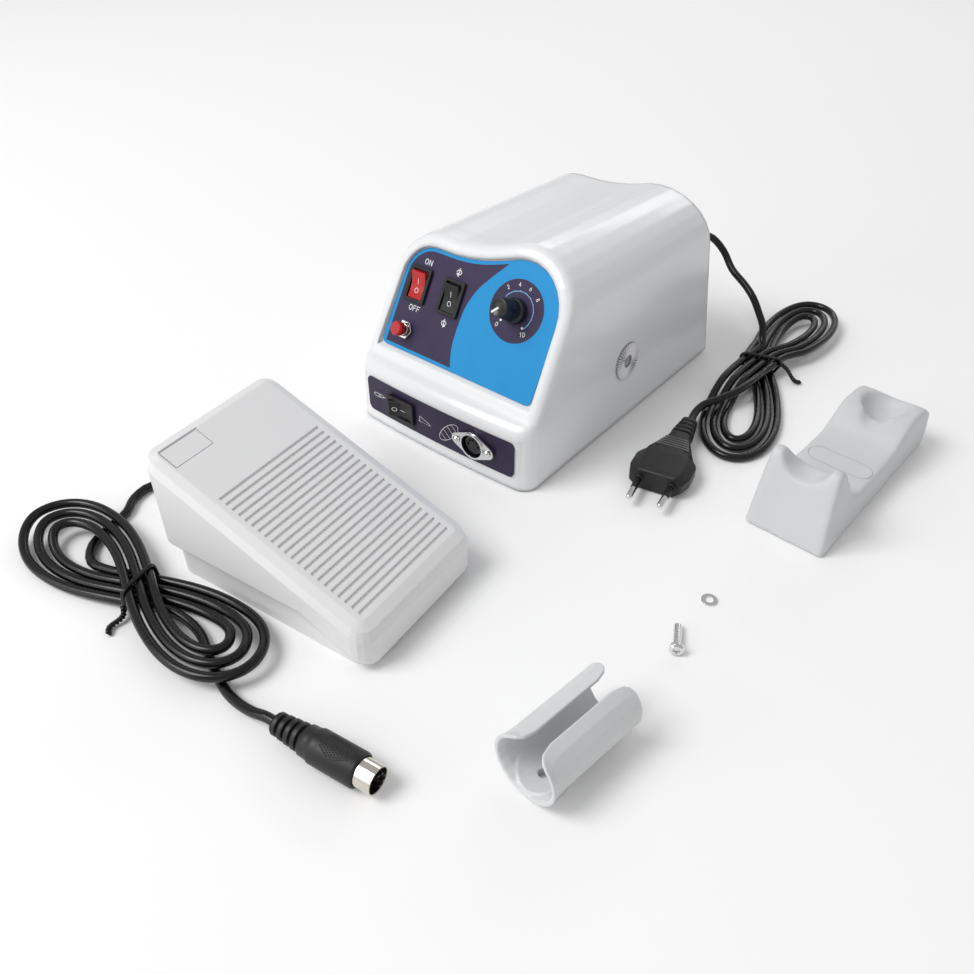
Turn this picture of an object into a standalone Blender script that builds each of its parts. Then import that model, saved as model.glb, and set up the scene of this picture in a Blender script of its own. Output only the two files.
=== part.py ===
"""Micromotor polisher: control box, foot pedal, handpiece stand, side clip and cords."""
import math

import bmesh
import bpy
from mathutils import Matrix, Vector

# Whole set, metres
SET_SHIFT_X = 0.14333
SET_SHIFT_Y = 0.03059
GAP = 0.0003
MERGE = 0.00001
CUT_OVER = 0.001

# Control box
BOX_HALF = 0.066
BOX_RIGHT_FALL = 0.0030
BOX_LEFT_FALL = 0.0053
BOX_DEPTH = 0.206
BOX_BASE_Z = 0.0015
ROOM_BASE_Z = -0.0025
BOX_SHOULDER_Z = 0.0895
WALL = 0.0025
RIGHT_HUMP_EDGE = 0.003
RIGHT_HUMP_WIDE = 0.035
RIGHT_HUMP_X = BOX_HALF - RIGHT_HUMP_WIDE - RIGHT_HUMP_EDGE
RIGHT_HUMP_HIGH = 0.0316
LEFT_HUMP_EDGE = 0.0053
LEFT_HUMP_WIDE = 0.0257
LEFT_HUMP_X = LEFT_HUMP_WIDE + LEFT_HUMP_EDGE - BOX_HALF
LEFT_HUMP_Z = 0.0882
LEFT_HUMP_HIGH = 0.0233
VALLEY_NEAR_X = 0.0034
VALLEY_NEAR_Z = 0.1150
VALLEY_FAR_X = -0.0090
VALLEY_FAR_Z = 0.1105
HUMP_END = math.radians(106)
ROOF_FALL_SHARE = 0.064
ROOF_START = 0.052
ROOF_RUN = BOX_DEPTH - ROOF_START
REAR_LEAN = 0.1552
PANEL_LEAN = 0.5222
PANEL_Y = 0.01514
PANEL_Z = 0.05005
RIM_PROUD = 0.0020
RIM_WIDE = 0.0066
RIM_ROUND = 0.0050
RIM_LOW_Z = 0.0434
NOSE_Y = 0.0122
PANEL_WALL = 0.0030
PANEL_DROP = 0.0008

# Chin below the panel
CHIN_TOP_Z = 0.0405
CHIN_RISE_SHARE = 0.37
CHIN_BULGE = 0.0017
CHIN_CORNER = 0.0100
CHIN_BACK_Y = 0.0300
CHIN_ROUND = 0.0040
CHIN_STEP = 0.00005
CHIN_WALL = 0.0030
CHIN_ROOM_TOP_Z = 0.0345
CHIN_SIDE_WALL = 0.0060
CHIN_ROOM_HALF = BOX_HALF - CHIN_SIDE_WALL
CHIN_STRIP_LEFT_EDGE = 0.0105
CHIN_STRIP_RIGHT_EDGE = 0.0091
CHIN_STRIP_LEFT = CHIN_STRIP_LEFT_EDGE - BOX_HALF
CHIN_STRIP_RIGHT = BOX_HALF - CHIN_STRIP_RIGHT_EDGE
CHIN_STRIP_LOW = 0.0095
CHIN_STRIP_HIGH = 0.0333
CHIN_STRIP_ROUND = 0.0030
SKIN = 0.0004

# Panel skin outline
SKIN_LEFT_LOW_EDGE = 0.0109
SKIN_LEFT_HIGH_EDGE = 0.0130
SKIN_RIGHT_EDGE = 0.0103
SKIN_LEFT_LOW = SKIN_LEFT_LOW_EDGE - BOX_HALF
SKIN_LEFT_HIGH = SKIN_LEFT_HIGH_EDGE - BOX_HALF
SKIN_RIGHT_LOW = BOX_HALF - SKIN_RIGHT_EDGE
SKIN_CORNER = 0.0030
SKIN_LEFT_CENTRE = (LEFT_HUMP_X, 0.0440)
SKIN_LEFT_RADIUS = 0.0183
SKIN_RIGHT_CENTRE = (RIGHT_HUMP_X, 0.0455)
SKIN_RIGHT_RADIUS = 0.0277
SKIN_VALLEY = ((-0.0090, 0.0612), (0.0034, 0.0660))

# Rocker switches
BEZEL_HALF_WIDE = 0.0076
BEZEL_HALF_LONG = 0.0104
BEZEL_HIGH = 0.0019
BEZEL_ROUND = 0.0009
SWITCH_BODY_HALF_WIDE = 0.0064
SWITCH_BODY_HALF_LONG = 0.0093
SWITCH_BODY_DEEP = 0.0150
ROCKER_HALF_WIDE = 0.0052
ROCKER_HALF_LONG = 0.0081
ROCKER_WELL_CLEAR = 0.0006
ROCKER_WELL_DEEP = 0.0092
ROCKER_PIVOT_H = -0.0012
ROCKER_END_H = 0.0040
ROCKER_MIDDLE_H = 0.0022
ROCKER_SIDE_H = -0.0010
ROCKER_FOOT_H = -0.0045
ROCKER_FOOT_HALF = 0.0045
ROCKER_TILT = math.radians(11)
TERMINAL_HALF = 0.0024
TERMINAL_THICK = 0.0008
TERMINAL_LONG = 0.0070
TERMINAL_PITCH = 0.0060
POWER_PLACE = (-0.0408, 0.0394)
DIRECTION_PLACE = (-0.0157, 0.0392)
SOURCE_X = -0.0265
SOURCE_Z = 0.0210

# Overload button
RESET_PLACE = (-0.0407, 0.0120)
RESET_HOLE = 0.0037
RESET_BUSH = 0.0034
RESET_BUSH_TOP = 0.0030
RESET_BODY = 0.0065
RESET_BODY_DEEP = 0.0200
RESET_BORE = 0.0021
RESET_BORE_DEEP = 0.0085
RESET_NUT_HALF = 0.0050
RESET_NUT_HIGH = 0.0020
RESET_CAP = 0.0042
RESET_CAP_LOW = 0.0058
RESET_CAP_TOP = 0.0098
RESET_CAP_ROUND = 0.0008
RESET_STEM = 0.0018
RESET_STEM_FOOT = -0.0045

# Speed control
KNOB_PLACE = (0.0283, 0.0456)
POT_BUSH = 0.0035
POT_HOLE = 0.0038
POT_BUSH_TOP = 0.0045
POT_BODY = 0.0082
POT_BODY_TOP = -0.0042
POT_BODY_DEEP = 0.0110
POT_SHAFT = 0.0030
POT_SHAFT_TOP = 0.0130
POT_NUT_HALF = 0.0050
POT_NUT_HIGH = 0.0022
KNOB_SKIRT = 0.0072
KNOB_SKIRT_LOW = 0.0010
KNOB_SKIRT_TOP = 0.0045
KNOB_WAIST = 0.0060
KNOB_FACE = 0.0052
KNOB_TOP = 0.0180
KNOB_ROUND = 0.0007
KNOB_WELL = 0.0062
KNOB_WELL_TOP = 0.0050
KNOB_BORE = 0.0032
KNOB_BORE_TOP = 0.0136
KNOB_POINTER_HALF = 0.0005
KNOB_POINTER_DEEP = 0.0004

# Round plug socket on the chin
SOCKET_X = 0.0293
SOCKET_Z = 0.0212
SOCKET_FLANGE_HALF = 0.0152
SOCKET_FLANGE_HIGH = 0.0088
SOCKET_FLANGE_THICK = 0.0012
SOCKET_LIP_HIGH = 0.0008
SOCKET_BARREL = 0.0084
SOCKET_BARREL_LONG = 0.0120
SOCKET_OPENING = 0.0073
SOCKET_CORE = 0.0056
SOCKET_CORE_DROP = 0.0018
SOCKET_DEEP = 0.0090
SOCKET_SCREW_X = 0.01115
SOCKET_SCREW = 0.0012
SOCKET_SCREW_HOLE = 0.0016
SOCKET_SCREW_HEAD = 0.0022
SOCKET_SCREW_HIGH = 0.0014
SOCKET_SCREW_LONG = 0.0060
PIN_CIRCLE = 0.0034
PIN_HOLE = 0.0008
PIN_HOLE_DEEP = 0.0040
PIN_FAN = math.radians(45)

# Side rosette
ROSETTE_Y = 0.1005
ROSETTE_Z = 0.0420
ROSETTE_OUT = 0.0120
ROSETTE_IN = 0.0060
ROSETTE_HIGH = 0.0009
ROSETTE_LOW = 0.0003
ROSETTE_ROOT = 0.0012
ROSETTE_HOLE = 0.0021
ROSETTE_TEETH = 24

# Base, feet and screws
BASE_THICK = 0.0020
BASE_UNDER_Z = 0.0018
BASE_FRONT_Y = 0.0180
BASE_SIDE_GAP = 0.0011
BASE_BACK_GAP = 0.0055
BASE_BACK_Y = BOX_DEPTH - BASE_BACK_GAP
BASE_CORNER = 0.0040
FOOT_RADIUS = 0.0075
FOOT_ROUND = 0.0004
FOOT_SIDE = 0.0180
FOOT_X = BOX_HALF - FOOT_SIDE
FOOT_FRONT_Y = 0.0340
FOOT_BACK = 0.0240
FOOT_BACK_Y = BOX_DEPTH - FOOT_BACK
POST_SIDE = 0.0090
POST_X = BOX_HALF - POST_SIDE
POST_FRONT_Y = 0.0260
POST_BACK = 0.0160
POST_BACK_Y = BOX_DEPTH - POST_BACK
POST_RADIUS = 0.0072
POST_HIGH = 0.0140
POST_BORE = 0.0018
BASE_SCREW = 0.0014
BASE_SCREW_HOLE = 0.0020
BASE_SCREW_HEAD = 0.0031
BASE_SCREW_HIGH = 0.0011
BASE_SCREW_LONG = 0.0098
BOARD_POST = 0.0035
BOARD_POST_HIGH = 0.0060

# Rear panel
REAR_THICK = 0.0025
REAR_INSET = 0.0004
REAR_LOW_Z = 0.0042
GLAND_X = 0.0340
GLAND_Z = 0.0620
GLAND_HOLE = 0.0062
GLAND_NECK = 0.0059
GLAND_FLANGE = 0.0085
GLAND_FLANGE_THICK = 0.0020
GLAND_NECK_LONG = 0.0100
GLAND_NOSE = 0.0045
GLAND_NOSE_LONG = 0.0220
FUSE_X = 0.0100
FUSE_Z = 0.0300
FUSE_HOLE = 0.0064
FUSE_BODY = 0.0061
FUSE_BODY_LONG = 0.0300
FUSE_CAP = 0.0078
FUSE_CAP_LONG = 0.0080
FUSE_FLANGE = 0.0090
FUSE_FLANGE_THICK = 0.0015

# Inside the box
CORE_X = -0.0180
CORE_BACK = 0.0610
CORE_Y = BOX_DEPTH - CORE_BACK
CORE_HALF = 0.0330
CORE_HIGH = 0.0550
CORE_HALF_THICK = 0.0120
CORE_LEG_HALF = 0.0110
CORE_WINDOW_HALF_HIGH = 0.0165
CORE_YOKE = 0.0110
COIL_WALL = 0.0090
BOARD_X = 0.0050
BOARD_Y = 0.0800
BOARD_HALF_X = 0.0420
BOARD_HALF_Y = 0.0320
BOARD_THICK = 0.0016
BOARD_POST_X = 0.0370
BOARD_POST_Y = 0.0270
SINK_X = 0.0270
SINK_HALF_X = 0.0090
SINK_HALF_Y = 0.0220
SINK_HIGH = 0.0240
SINK_BASE = 0.0040
SINK_FIN = 0.0015
SINK_FINS = 4
CAP_X = -0.0150
CAP_RADIUS = 0.0110
CAP_HIGH = 0.0300
CAP_ROUND = 0.0015

# Foot pedal
PEDAL_X = 0.09966
PEDAL_Y = -0.10811
PEDAL_TURN = 0.1029
PEDAL_TOP_Z = 0.04426
PEDAL_SLOPE = 0.3626
PEDAL_HEEL = -0.0825
PEDAL_TOE = 0.0499
PEDAL_HALF = 0.0440
PEDAL_ROUND = 0.0065
PEDAL_CORNER = 0.0090
PEDAL_WALL = 0.0025
SKIRT_HEEL_Z = 0.0215
SKIRT_BEND = 0.0110
SKIRT_TOE_Z = 0.0045
CORD_WAY_HALF = 0.0075
CORD_WAY_TOP = 0.0285
GROOVES = 22
GROOVE_PITCH = 0.00407
GROOVE_HALF = 0.0008
GROOVE_DEEP = 0.0009
GROOVE_MARGIN = 0.0095
GROOVE_LONG = PEDAL_HALF - GROOVE_MARGIN
LABEL_FROM = -0.0813
LABEL_TO = -0.0685
LABEL_LEFT = -0.0366
LABEL_RIGHT = -0.0120
LABEL_DEEP = 0.0003
TRAY_HEEL = -0.0780
TRAY_TOE = 0.0455
TRAY_SIDE = 0.0040
TRAY_HALF = PEDAL_HALF - TRAY_SIDE
TRAY_CORNER = 0.0080
TRAY_HIGH = 0.0185
TRAY_FLOOR = 0.0030
TRAY_WALL = 0.0025
HINGE_L = 0.0400
HINGE_Z = 0.0150
HINGE_PIN = 0.0020
HINGE_PLAY = 0.00006
HINGE_PIN_SUNK = 0.0012
HINGE_BORE_SKIN = 0.0008
HINGE_END = PEDAL_HALF - HINGE_PIN_SUNK
HINGE_BORE_END = PEDAL_HALF - HINGE_BORE_SKIN
SPRING_L = -0.0150
SPRING_W = 0.0160
SPRING_RADIUS = 0.0055
SPRING_WIRE = 0.0006
SPRING_TURNS = 5
SPRING_STEPS = 8
SPRING_SEAT = 0.0045
SPRING_SEAT_HIGH = 0.0030
ROLLER_REACH = 0.0780
ROLLER_LIFT = math.radians(10)
ROLLER_RADIUS = 0.0060
ROLLER_HALF = 0.0030
ROLLER_BORE = 0.0016
ARM_THICK = 0.0025
ARM_HALF = 0.0025
ARM_LOW = math.radians(6)
ARM_HIGH = math.radians(30.3)
PEDAL_POT = 0.0080
PEDAL_POT_LONG = 0.0080
PEDAL_POT_SHAFT = 0.0015
PEDAL_POT_BRACKET = 0.0070
PEDAL_GLAND_W = 0.0080
PEDAL_GLAND_Z = 0.0095
PEDAL_GLAND_HOLE = 0.0046
PEDAL_GLAND_NECK = 0.0043
PEDAL_GLAND_FLANGE = 0.0060
PEDAL_GLAND_THICK = 0.0016
PEDAL_GLAND_NOSE = 0.0040
PEDAL_GLAND_LONG = 0.0050

# Cords
PEDAL_CORD = 0.0025
MAINS_CORD = 0.0024
FLOOR_GAP = 0.0003
TIE_WIRE = 0.0006
PEDAL_CORD_POINTS = (
    (-0.0060, -0.1116, 0.0070), (-0.0250, -0.1160, 0.0034), (-0.0375, -0.1270, 0.0028),
    (-0.0360, -0.1400, 0.0028), (-0.0290, -0.1500, 0.0028), (-0.0250, -0.1640, 0.0028),
    (-0.0200, -0.1770, 0.0028), (-0.0090, -0.1845, 0.0028), (0.0038, -0.1821, 0.0034))
PEDAL_LEAD_POINTS = (
    (0.0590, -0.1785, 0.0032), (0.0735, -0.1795, 0.0028), (0.0870, -0.1850, 0.0028),
    (0.1005, -0.1905, 0.0028), (0.1125, -0.1940, 0.0029), (0.1230, -0.1950, 0.0040),
    (0.1330, -0.1948, 0.0066))
MAINS_CORD_POINTS = (
    (0.1020, 0.2335, 0.0672), (0.1080, 0.2400, 0.0640), (0.1170, 0.2420, 0.0562),
    (0.1272, 0.2378, 0.0475), (0.1411, 0.2315, 0.0427), (0.1503, 0.2275, 0.0376),
    (0.1569, 0.2260, 0.0292), (0.1614, 0.2260, 0.0209), (0.1630, 0.2245, 0.0145))
MAINS_LEAD_POINTS = (
    (0.1820, 0.1850, 0.0106), (0.1818, 0.1700, 0.0119), (0.1800, 0.1570, 0.0116),
    (0.1745, 0.1440, 0.0102), (0.1692, 0.1340, 0.0088), (0.1688, 0.1250, 0.0078))
PEDAL_TIE_X = 0.0291
PEDAL_TIE_Y = -0.1808
PEDAL_HANK_TURN = 0.0
PEDAL_HANK_ANGLE = math.radians(25)
PEDAL_HANK_AHEAD = 0.0770
PEDAL_HANK_BEHIND = 0.0820
PEDAL_HANK_TURNS = 3
PEDAL_HANK_STEP = 0.0058
PEDAL_HANK_SPREAD = 0.0115
PEDAL_HANK_HOLD = 0.0100
MAINS_TIE_X = 0.1733
MAINS_TIE_Y = 0.2025
MAINS_HANK_TURN = math.radians(-72)
MAINS_HANK_BEND = math.radians(-17)
MAINS_HANK_ANGLE = math.radians(20)
MAINS_HANK_AHEAD = 0.0960
MAINS_HANK_BEHIND = 0.0900
MAINS_HANK_TURNS = 3
MAINS_HANK_STEP = 0.0060
MAINS_HANK_SPREAD = 0.0115
MAINS_HANK_HOLD = 0.0100
HANK_POINTS = 11
RISE_SHARES = (0, 0.12, 0.42, 0.8, 1)
FALL_SHARES = (0, 0.2, 0.5, 0.8, 0.9, 1)
DROP_SHARES = (0, 0.05, 0.16, 0.9, 1)
LAYER_GAP = 0.0008

# Round plug
PLUG_X = 0.1450
PLUG_Y = -0.1930
PLUG_Z = 0.0084
PLUG_TURN = 0.13
PLUG_RELIEF = 0.0050
PLUG_RELIEF_ROOT = 0.0064
PLUG_RELIEF_LONG = 0.0160
PLUG_RIBS = 4
PLUG_RIB_DEEP = 0.0010
PLUG_BODY = 0.0081
PLUG_BODY_LONG = 0.0300
PLUG_ROUND = 0.0010
PLUG_SHELL = 0.0066
PLUG_SHELL_WALL = 0.0006
PLUG_SHELL_LONG = 0.0085
PLUG_SEAT = 0.0030
PLUG_CORE_LONG = 0.0055
PLUG_PIN = 0.0007
PLUG_PIN_LONG = 0.0090

# Flat mains plug
FLAT_X = 0.1715
FLAT_Y = 0.1132
FLAT_Z = 0.0074
FLAT_TURN = -1.3536
FLAT_RELIEF = 0.0034
FLAT_RELIEF_ROOT = 0.0052
FLAT_RELIEF_LONG = 0.0320
FLAT_NECK_HALF = 0.0080
FLAT_HALF = 0.0177
FLAT_THICK = 0.0070
FLAT_BODY_LONG = 0.0645
FLAT_SHOULDER = 0.0430
FLAT_ROUND = 0.0025
FLAT_PIN_X = 0.0095
FLAT_PIN = 0.0020
FLAT_PIN_TIP = 0.00195
FLAT_SLEEVE_LONG = 0.0100
FLAT_PIN_LONG = 0.0190
FLAT_PIN_SEAT = 0.0060
FLAT_PIN_TOE = 0.035

# Handpiece stand
STAND_X = 0.2365
STAND_Y = 0.0635
STAND_TURN = -0.049
STAND_HALF = 0.0232
STAND_MID = 0.0228
STAND_LONG = 0.1340
STAND_HIGH = 0.0500
STAND_SIDE_DRAFT_SHARE = 0.17
STAND_REAR_DRAFT_SHARE = 0.10
STAND_PROFILE = (
    (-0.0030, 0.0), (-0.0015, 0.0200), (0.0022, 0.0450), (0.0040, 0.0492), (0.0075, 0.0500),
    (0.0115, 0.0480), (0.0180, 0.0390), (0.0240, 0.0290), (0.0300, 0.0225), (0.0380, 0.0200),
    (0.0720, 0.0200), (0.0800, 0.0220), (0.0880, 0.0275), (0.0950, 0.0310), (0.1020, 0.0322),
    (0.1120, 0.0318), (0.1220, 0.0298), (0.1290, 0.0250), (0.1325, 0.0140), (0.1340, 0.0))
STAND_ROUND = 0.0022
NOTCH_RADIUS = 0.0130
NOTCH_Z = 0.0510
NOTCH_TO = 0.0340
CUP_Y = 0.1110
CUP_Z = 0.0350
CUP_RADIUS = 0.0140
CUP_LONG = 0.0165
CUP_DEEP = 0.0150
CUP_WAY = 0.0085
CUP_WAY_Z = 0.0345

# Side clip
CLIP_X = 0.2459
CLIP_Y = -0.1505
CLIP_Z = 0.0185
CLIP_TURN = -0.1248
CLIP_RADIUS = 0.0160
CLIP_WALL = 0.0019
CLIP_LONG = 0.0550
CLIP_FLARE = 0.0012
CLIP_FLARE_LONG = 0.0060
CLIP_CORNER = 0.0090
CLIP_SLOT_FROM = math.radians(71)
CLIP_SLOT_TO = math.radians(99)
CLIP_SLOT_ROUND = math.radians(26)
CLIP_STEPS = 16
CLIP_HOLE_Y = 0.0120
CLIP_HOLE = 0.0022
CLIP_BOSS = 0.0110
CLIP_BOSS_ROOT = 0.0070
CLIP_PAD = 0.0004

# Loose screw and washer
WASHER_X = 0.2510
WASHER_Y = -0.0040
WASHER_OUT = 0.0041
WASHER_IN = 0.00215
WASHER_THICK = 0.0008
SCREW_X = 0.2553
SCREW_Y = -0.0438
SCREW_TURN = 2.048
SCREW_SHANK = 0.0020
SCREW_HEAD = 0.0036
SCREW_HEAD_HIGH = 0.0026
SCREW_LONG = 0.0160
SCREW_ROUND = 0.0009
SCREW_DRIVE_HALF = 0.0006
SCREW_DRIVE_REACH = 0.0018
SCREW_DRIVE_DEEP = 0.0012

# Colours
COLOURS = {
    "shell": ((0.86, 0.86, 0.87), 0.25, 0.0),
    "panel_blue": ((0.06, 0.40, 0.80), 0.30, 0.0),
    "panel_dark": ((0.06, 0.05, 0.11), 0.35, 0.0),
    "black": ((0.015, 0.015, 0.016), 0.35, 0.0),
    "red": ((0.60, 0.03, 0.02), 0.30, 0.0),
    "rubber": ((0.02, 0.02, 0.02), 0.6, 0.0),
    "steel": ((0.62, 0.62, 0.63), 0.28, 1.0),
    "chrome": ((0.80, 0.80, 0.80), 0.12, 1.0),
    "grey": ((0.56, 0.56, 0.57), 0.45, 0.0),
    "clip_grey": ((0.66, 0.66, 0.67), 0.45, 0.0),
    "iron": ((0.30, 0.30, 0.31), 0.5, 1.0),
    "copper": ((0.55, 0.22, 0.09), 0.4, 1.0),
    "board": ((0.03, 0.20, 0.07), 0.5, 0.0),
    "aluminium": ((0.72, 0.72, 0.73), 0.35, 1.0),
}


def clear_scene():
    for thing in list(bpy.data.objects):
        bpy.data.objects.remove(thing, do_unlink=True)


def collection(name):
    made = bpy.data.collections.new(name)
    bpy.context.scene.collection.children.link(made)
    return made


clear_scene()
PARTS = collection("micromotor_polisher")
CUTTERS = collection("cutters")


def material(slot, name):
    colour, rough, metal = COLOURS[slot]
    made = bpy.data.materials.new(slot + "." + name)
    made.use_nodes = True
    shader = made.node_tree.nodes["Principled BSDF"]
    shader.inputs["Base Color"].default_value = (*colour, 1.0)
    shader.inputs["Roughness"].default_value = rough
    shader.inputs["Metallic"].default_value = metal
    made.diffuse_color = (*colour, 1.0)
    return made


def empty(name, parent=None, place=(0, 0, 0), turn=None):
    made = bpy.data.objects.new(name, None)
    PARTS.objects.link(made)
    made.parent = parent
    made.matrix_local = Matrix.Translation(place) @ (turn or Matrix.Identity(4))
    return made


def part(name, mesh, slot, parent, place=(0, 0, 0), turn=None, smooth=math.radians(35)):
    made = bpy.data.objects.new(name, mesh)
    mesh.name = name
    PARTS.objects.link(made)
    made.parent = parent
    made.matrix_local = Matrix.Translation(place) @ (turn or Matrix.Identity(4))
    mesh.materials.clear()
    mesh.materials.append(material(slot, name))
    mesh.shade_smooth()
    mesh.set_sharp_from_angle(angle=smooth)
    return made


def tool(name, mesh, parent, place=(0, 0, 0), turn=None):
    made = bpy.data.objects.new(name, mesh)
    mesh.name = name
    CUTTERS.objects.link(made)
    made.parent = parent
    made.matrix_local = Matrix.Translation(place) @ (turn or Matrix.Identity(4))
    made.display_type = "WIRE"
    made.hide_render = True
    return made


def combine(body, other, operation):
    step = body.modifiers.new(other.name, "BOOLEAN")
    step.operation = operation
    step.solver = "EXACT"
    step.object = other


def cut(body, other):
    combine(body, other, "DIFFERENCE")


def fuse(body, other):
    combine(body, other, "UNION")


def rounded(body, width, steps=2, angle=math.radians(40)):
    step = body.modifiers.new("round", "BEVEL")
    step.width = width
    step.segments = steps
    step.limit_method = "ANGLE"
    step.angle_limit = angle
    step.harden_normals = False


def mesh_from(verts, faces):
    mesh = bpy.data.meshes.new("solid")
    mesh.from_pydata([tuple(v) for v in verts], [], faces)
    tidy = bmesh.new()
    tidy.from_mesh(mesh)
    bmesh.ops.triangulate(tidy, faces=tidy.faces)
    bmesh.ops.recalc_face_normals(tidy, faces=tidy.faces)
    tidy.to_mesh(mesh)
    tidy.free()
    return mesh


def block(half_x, half_y, low_z, high_z):
    tidy = bmesh.new()
    bmesh.ops.create_cube(tidy, size=1)
    for vert in tidy.verts:
        vert.co.x *= 2 * half_x
        vert.co.y *= 2 * half_y
        vert.co.z = high_z if vert.co.z > 0 else low_z
    mesh = bpy.data.meshes.new("block")
    tidy.to_mesh(mesh)
    tidy.free()
    return mesh


def rod(radius, low_z, high_z, sides=24):
    tidy = bmesh.new()
    bmesh.ops.create_cone(tidy, cap_ends=True, segments=sides, radius1=radius, radius2=radius,
                          depth=high_z - low_z)
    bmesh.ops.translate(tidy, verts=tidy.verts, vec=(0, 0, (low_z + high_z) / 2))
    mesh = bpy.data.meshes.new("rod")
    tidy.to_mesh(mesh)
    tidy.free()
    return mesh


def curve_mesh(curve):
    holder = bpy.data.objects.new("curve", curve)
    bpy.context.scene.collection.objects.link(holder)
    seen = holder.evaluated_get(bpy.context.evaluated_depsgraph_get())
    mesh = bpy.data.meshes.new_from_object(seen)
    bpy.data.objects.remove(holder, do_unlink=True)
    tidy = bmesh.new()
    tidy.from_mesh(mesh)
    bmesh.ops.remove_doubles(tidy, verts=tidy.verts, dist=MERGE)
    bmesh.ops.recalc_face_normals(tidy, faces=tidy.faces)
    tidy.to_mesh(mesh)
    tidy.free()
    return mesh


def flat(loops, low_z, high_z):
    """Flat outlines with holes, extruded between two heights."""
    curve = bpy.data.curves.new("outline", "CURVE")
    curve.dimensions = "2D"
    curve.fill_mode = "BOTH"
    curve.extrude = (high_z - low_z) / 2
    for loop in loops:
        line = curve.splines.new("POLY")
        line.points.add(len(loop) - 1)
        for point, (x, y) in zip(line.points, loop):
            point.co = (x, y, 0, 1)
        line.use_cyclic_u = True
    mesh = curve_mesh(curve)
    mesh.transform(Matrix.Translation((0, 0, (low_z + high_z) / 2)))
    return mesh


def tube(points, radius, resolution=2, closed=False):
    """A tube drawn along a line of points."""
    curve = bpy.data.curves.new("line", "CURVE")
    curve.dimensions = "3D"
    curve.bevel_depth = radius
    curve.bevel_resolution = resolution
    curve.use_fill_caps = True
    line = curve.splines.new("POLY")
    line.points.add(len(points) - 1)
    for point, place in zip(line.points, points):
        point.co = (*place, 1)
    line.use_cyclic_u = closed
    return curve_mesh(curve)


def turned(name, profile, slot, parent, place=(0, 0, 0), turn=None, steps=24, closed=False):
    """A profile of radius and height turned about Z."""
    edges = [(i, i + 1) for i in range(len(profile) - 1)]
    if closed:
        edges.append((len(profile) - 1, 0))
    mesh = bpy.data.meshes.new("profile")
    mesh.from_pydata([(r, 0, z) for r, z in profile], edges, [])
    made = part(name, mesh, slot, parent, place, turn)
    loop = profile + [profile[0]]
    area = sum(a[0] * b[1] - a[1] * b[0] for a, b in zip(loop, loop[1:]))
    spin(made, steps, area > 0)
    return made


def spin(made, steps, flip):
    step = made.modifiers.new("turn", "SCREW")
    step.axis = "Z"
    step.steps = steps
    step.render_steps = steps
    step.use_merge_vertices = True
    step.merge_threshold = MERGE
    step.use_normal_flip = flip


def loft(rings):
    """Faces between rings with the same count of points, and over both ends."""
    verts = [v for ring in rings for v in ring]
    count = len(rings[0])
    faces = []
    for k in range(len(rings) - 1):
        for i in range(count):
            j = (i + 1) % count
            faces.append((k * count + i, k * count + j, (k + 1) * count + j, (k + 1) * count + i))
    last = (len(rings) - 1) * count
    faces.append(tuple(range(count)))
    faces.append(tuple(last + i for i in range(count)))
    return mesh_from(verts, faces)


def arc(centre, radius, start, end, steps, high=None):
    high = high or radius
    points = []
    for i in range(steps + 1):
        angle = start + (end - start) * i / steps
        points.append((centre[0] + radius * math.cos(angle), centre[1] + high * math.sin(angle)))
    return points


def rounded_box(left, right, low, high, corner, steps=3):
    """Outline of a rectangle with rounded corners."""
    quarter = math.pi / 2
    points = []
    points += arc((right - corner, high - corner), corner, 0, quarter, steps)
    points += arc((left + corner, high - corner), corner, quarter, 2 * quarter, steps)
    points += arc((left + corner, low + corner), corner, 2 * quarter, 3 * quarter, steps)
    points += arc((right - corner, low + corner), corner, 3 * quarter, 4 * quarter, steps)
    return points


def bezier(a, b, c, d, t):
    s = 1 - t
    return tuple(s * s * s * p + 3 * s * s * t * q + 3 * s * t * t * r + t * t * t * w
                 for p, q, r, w in zip(a, b, c, d))


def smooth_line(points, start_way, end_way, gap, straight):
    """A smooth line through the given points, straight at both ends, read at nearly even steps."""
    start_way = Vector(start_way).normalized()
    end_way = Vector(end_way).normalized()
    points = [Vector(p) for p in points]
    start = points[0]
    end = points[-1]
    points[0] = start + start_way * straight
    points[-1] = end - end_way * straight
    ways = [start_way]
    for before, after in zip(points, points[2:]):
        ways.append((after - before).normalized())
    ways.append(end_way)
    line = [start, points[0]]
    for a, b, first, second in zip(points, points[1:], ways, ways[1:]):
        reach = (b - a).length
        count = max(1, round(reach / gap))
        for k in range(1, count + 1):
            near = a + first * reach / 3
            far = b - second * reach / 3
            line.append(Vector(bezier(a, near, far, b, k / count)))
    return line + [end]


def least_gap(lines, diameter, cyclic=False):
    """Smallest free distance of tube lines to each other and to themselves."""
    dots = []
    for which, line in enumerate(lines):
        run = 0
        for a, b in zip(line, line[1:]):
            reach = (b - a).length
            pieces = max(1, int(reach / (diameter / 4)))
            for k in range(pieces):
                dots.append((which, run + reach * k / pieces, a.lerp(b, k / pieces)))
            run += reach
    least = math.inf
    for i, (which, run, dot) in enumerate(dots):
        for other, far, spot in dots[i + 1:]:
            if other == which and abs(far - run) < 3 * diameter:
                continue
            least = min(least, (dot - spot).length)
    return least - diameter


# Directions of the panel, the chin and the rear wall
PANEL_TURN = Matrix.Rotation(math.pi / 2 - PANEL_LEAN, 4, "X")
CHIN_TURN = Matrix(((0, 1, 0, 0), (0, 0, -1, 0), (-1, 0, 0, 0), (0, 0, 0, 1)))
FRONT_TURN = Matrix.Rotation(math.pi / 2, 4, "X")
REAR_TURN = Matrix.Rotation(-math.pi / 2 + REAR_LEAN, 4, "X")
ALONG_Y = Matrix.Rotation(-math.pi / 2, 4, "X")
ALONG_X = Matrix.Rotation(math.pi / 2, 4, "Y")


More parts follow.
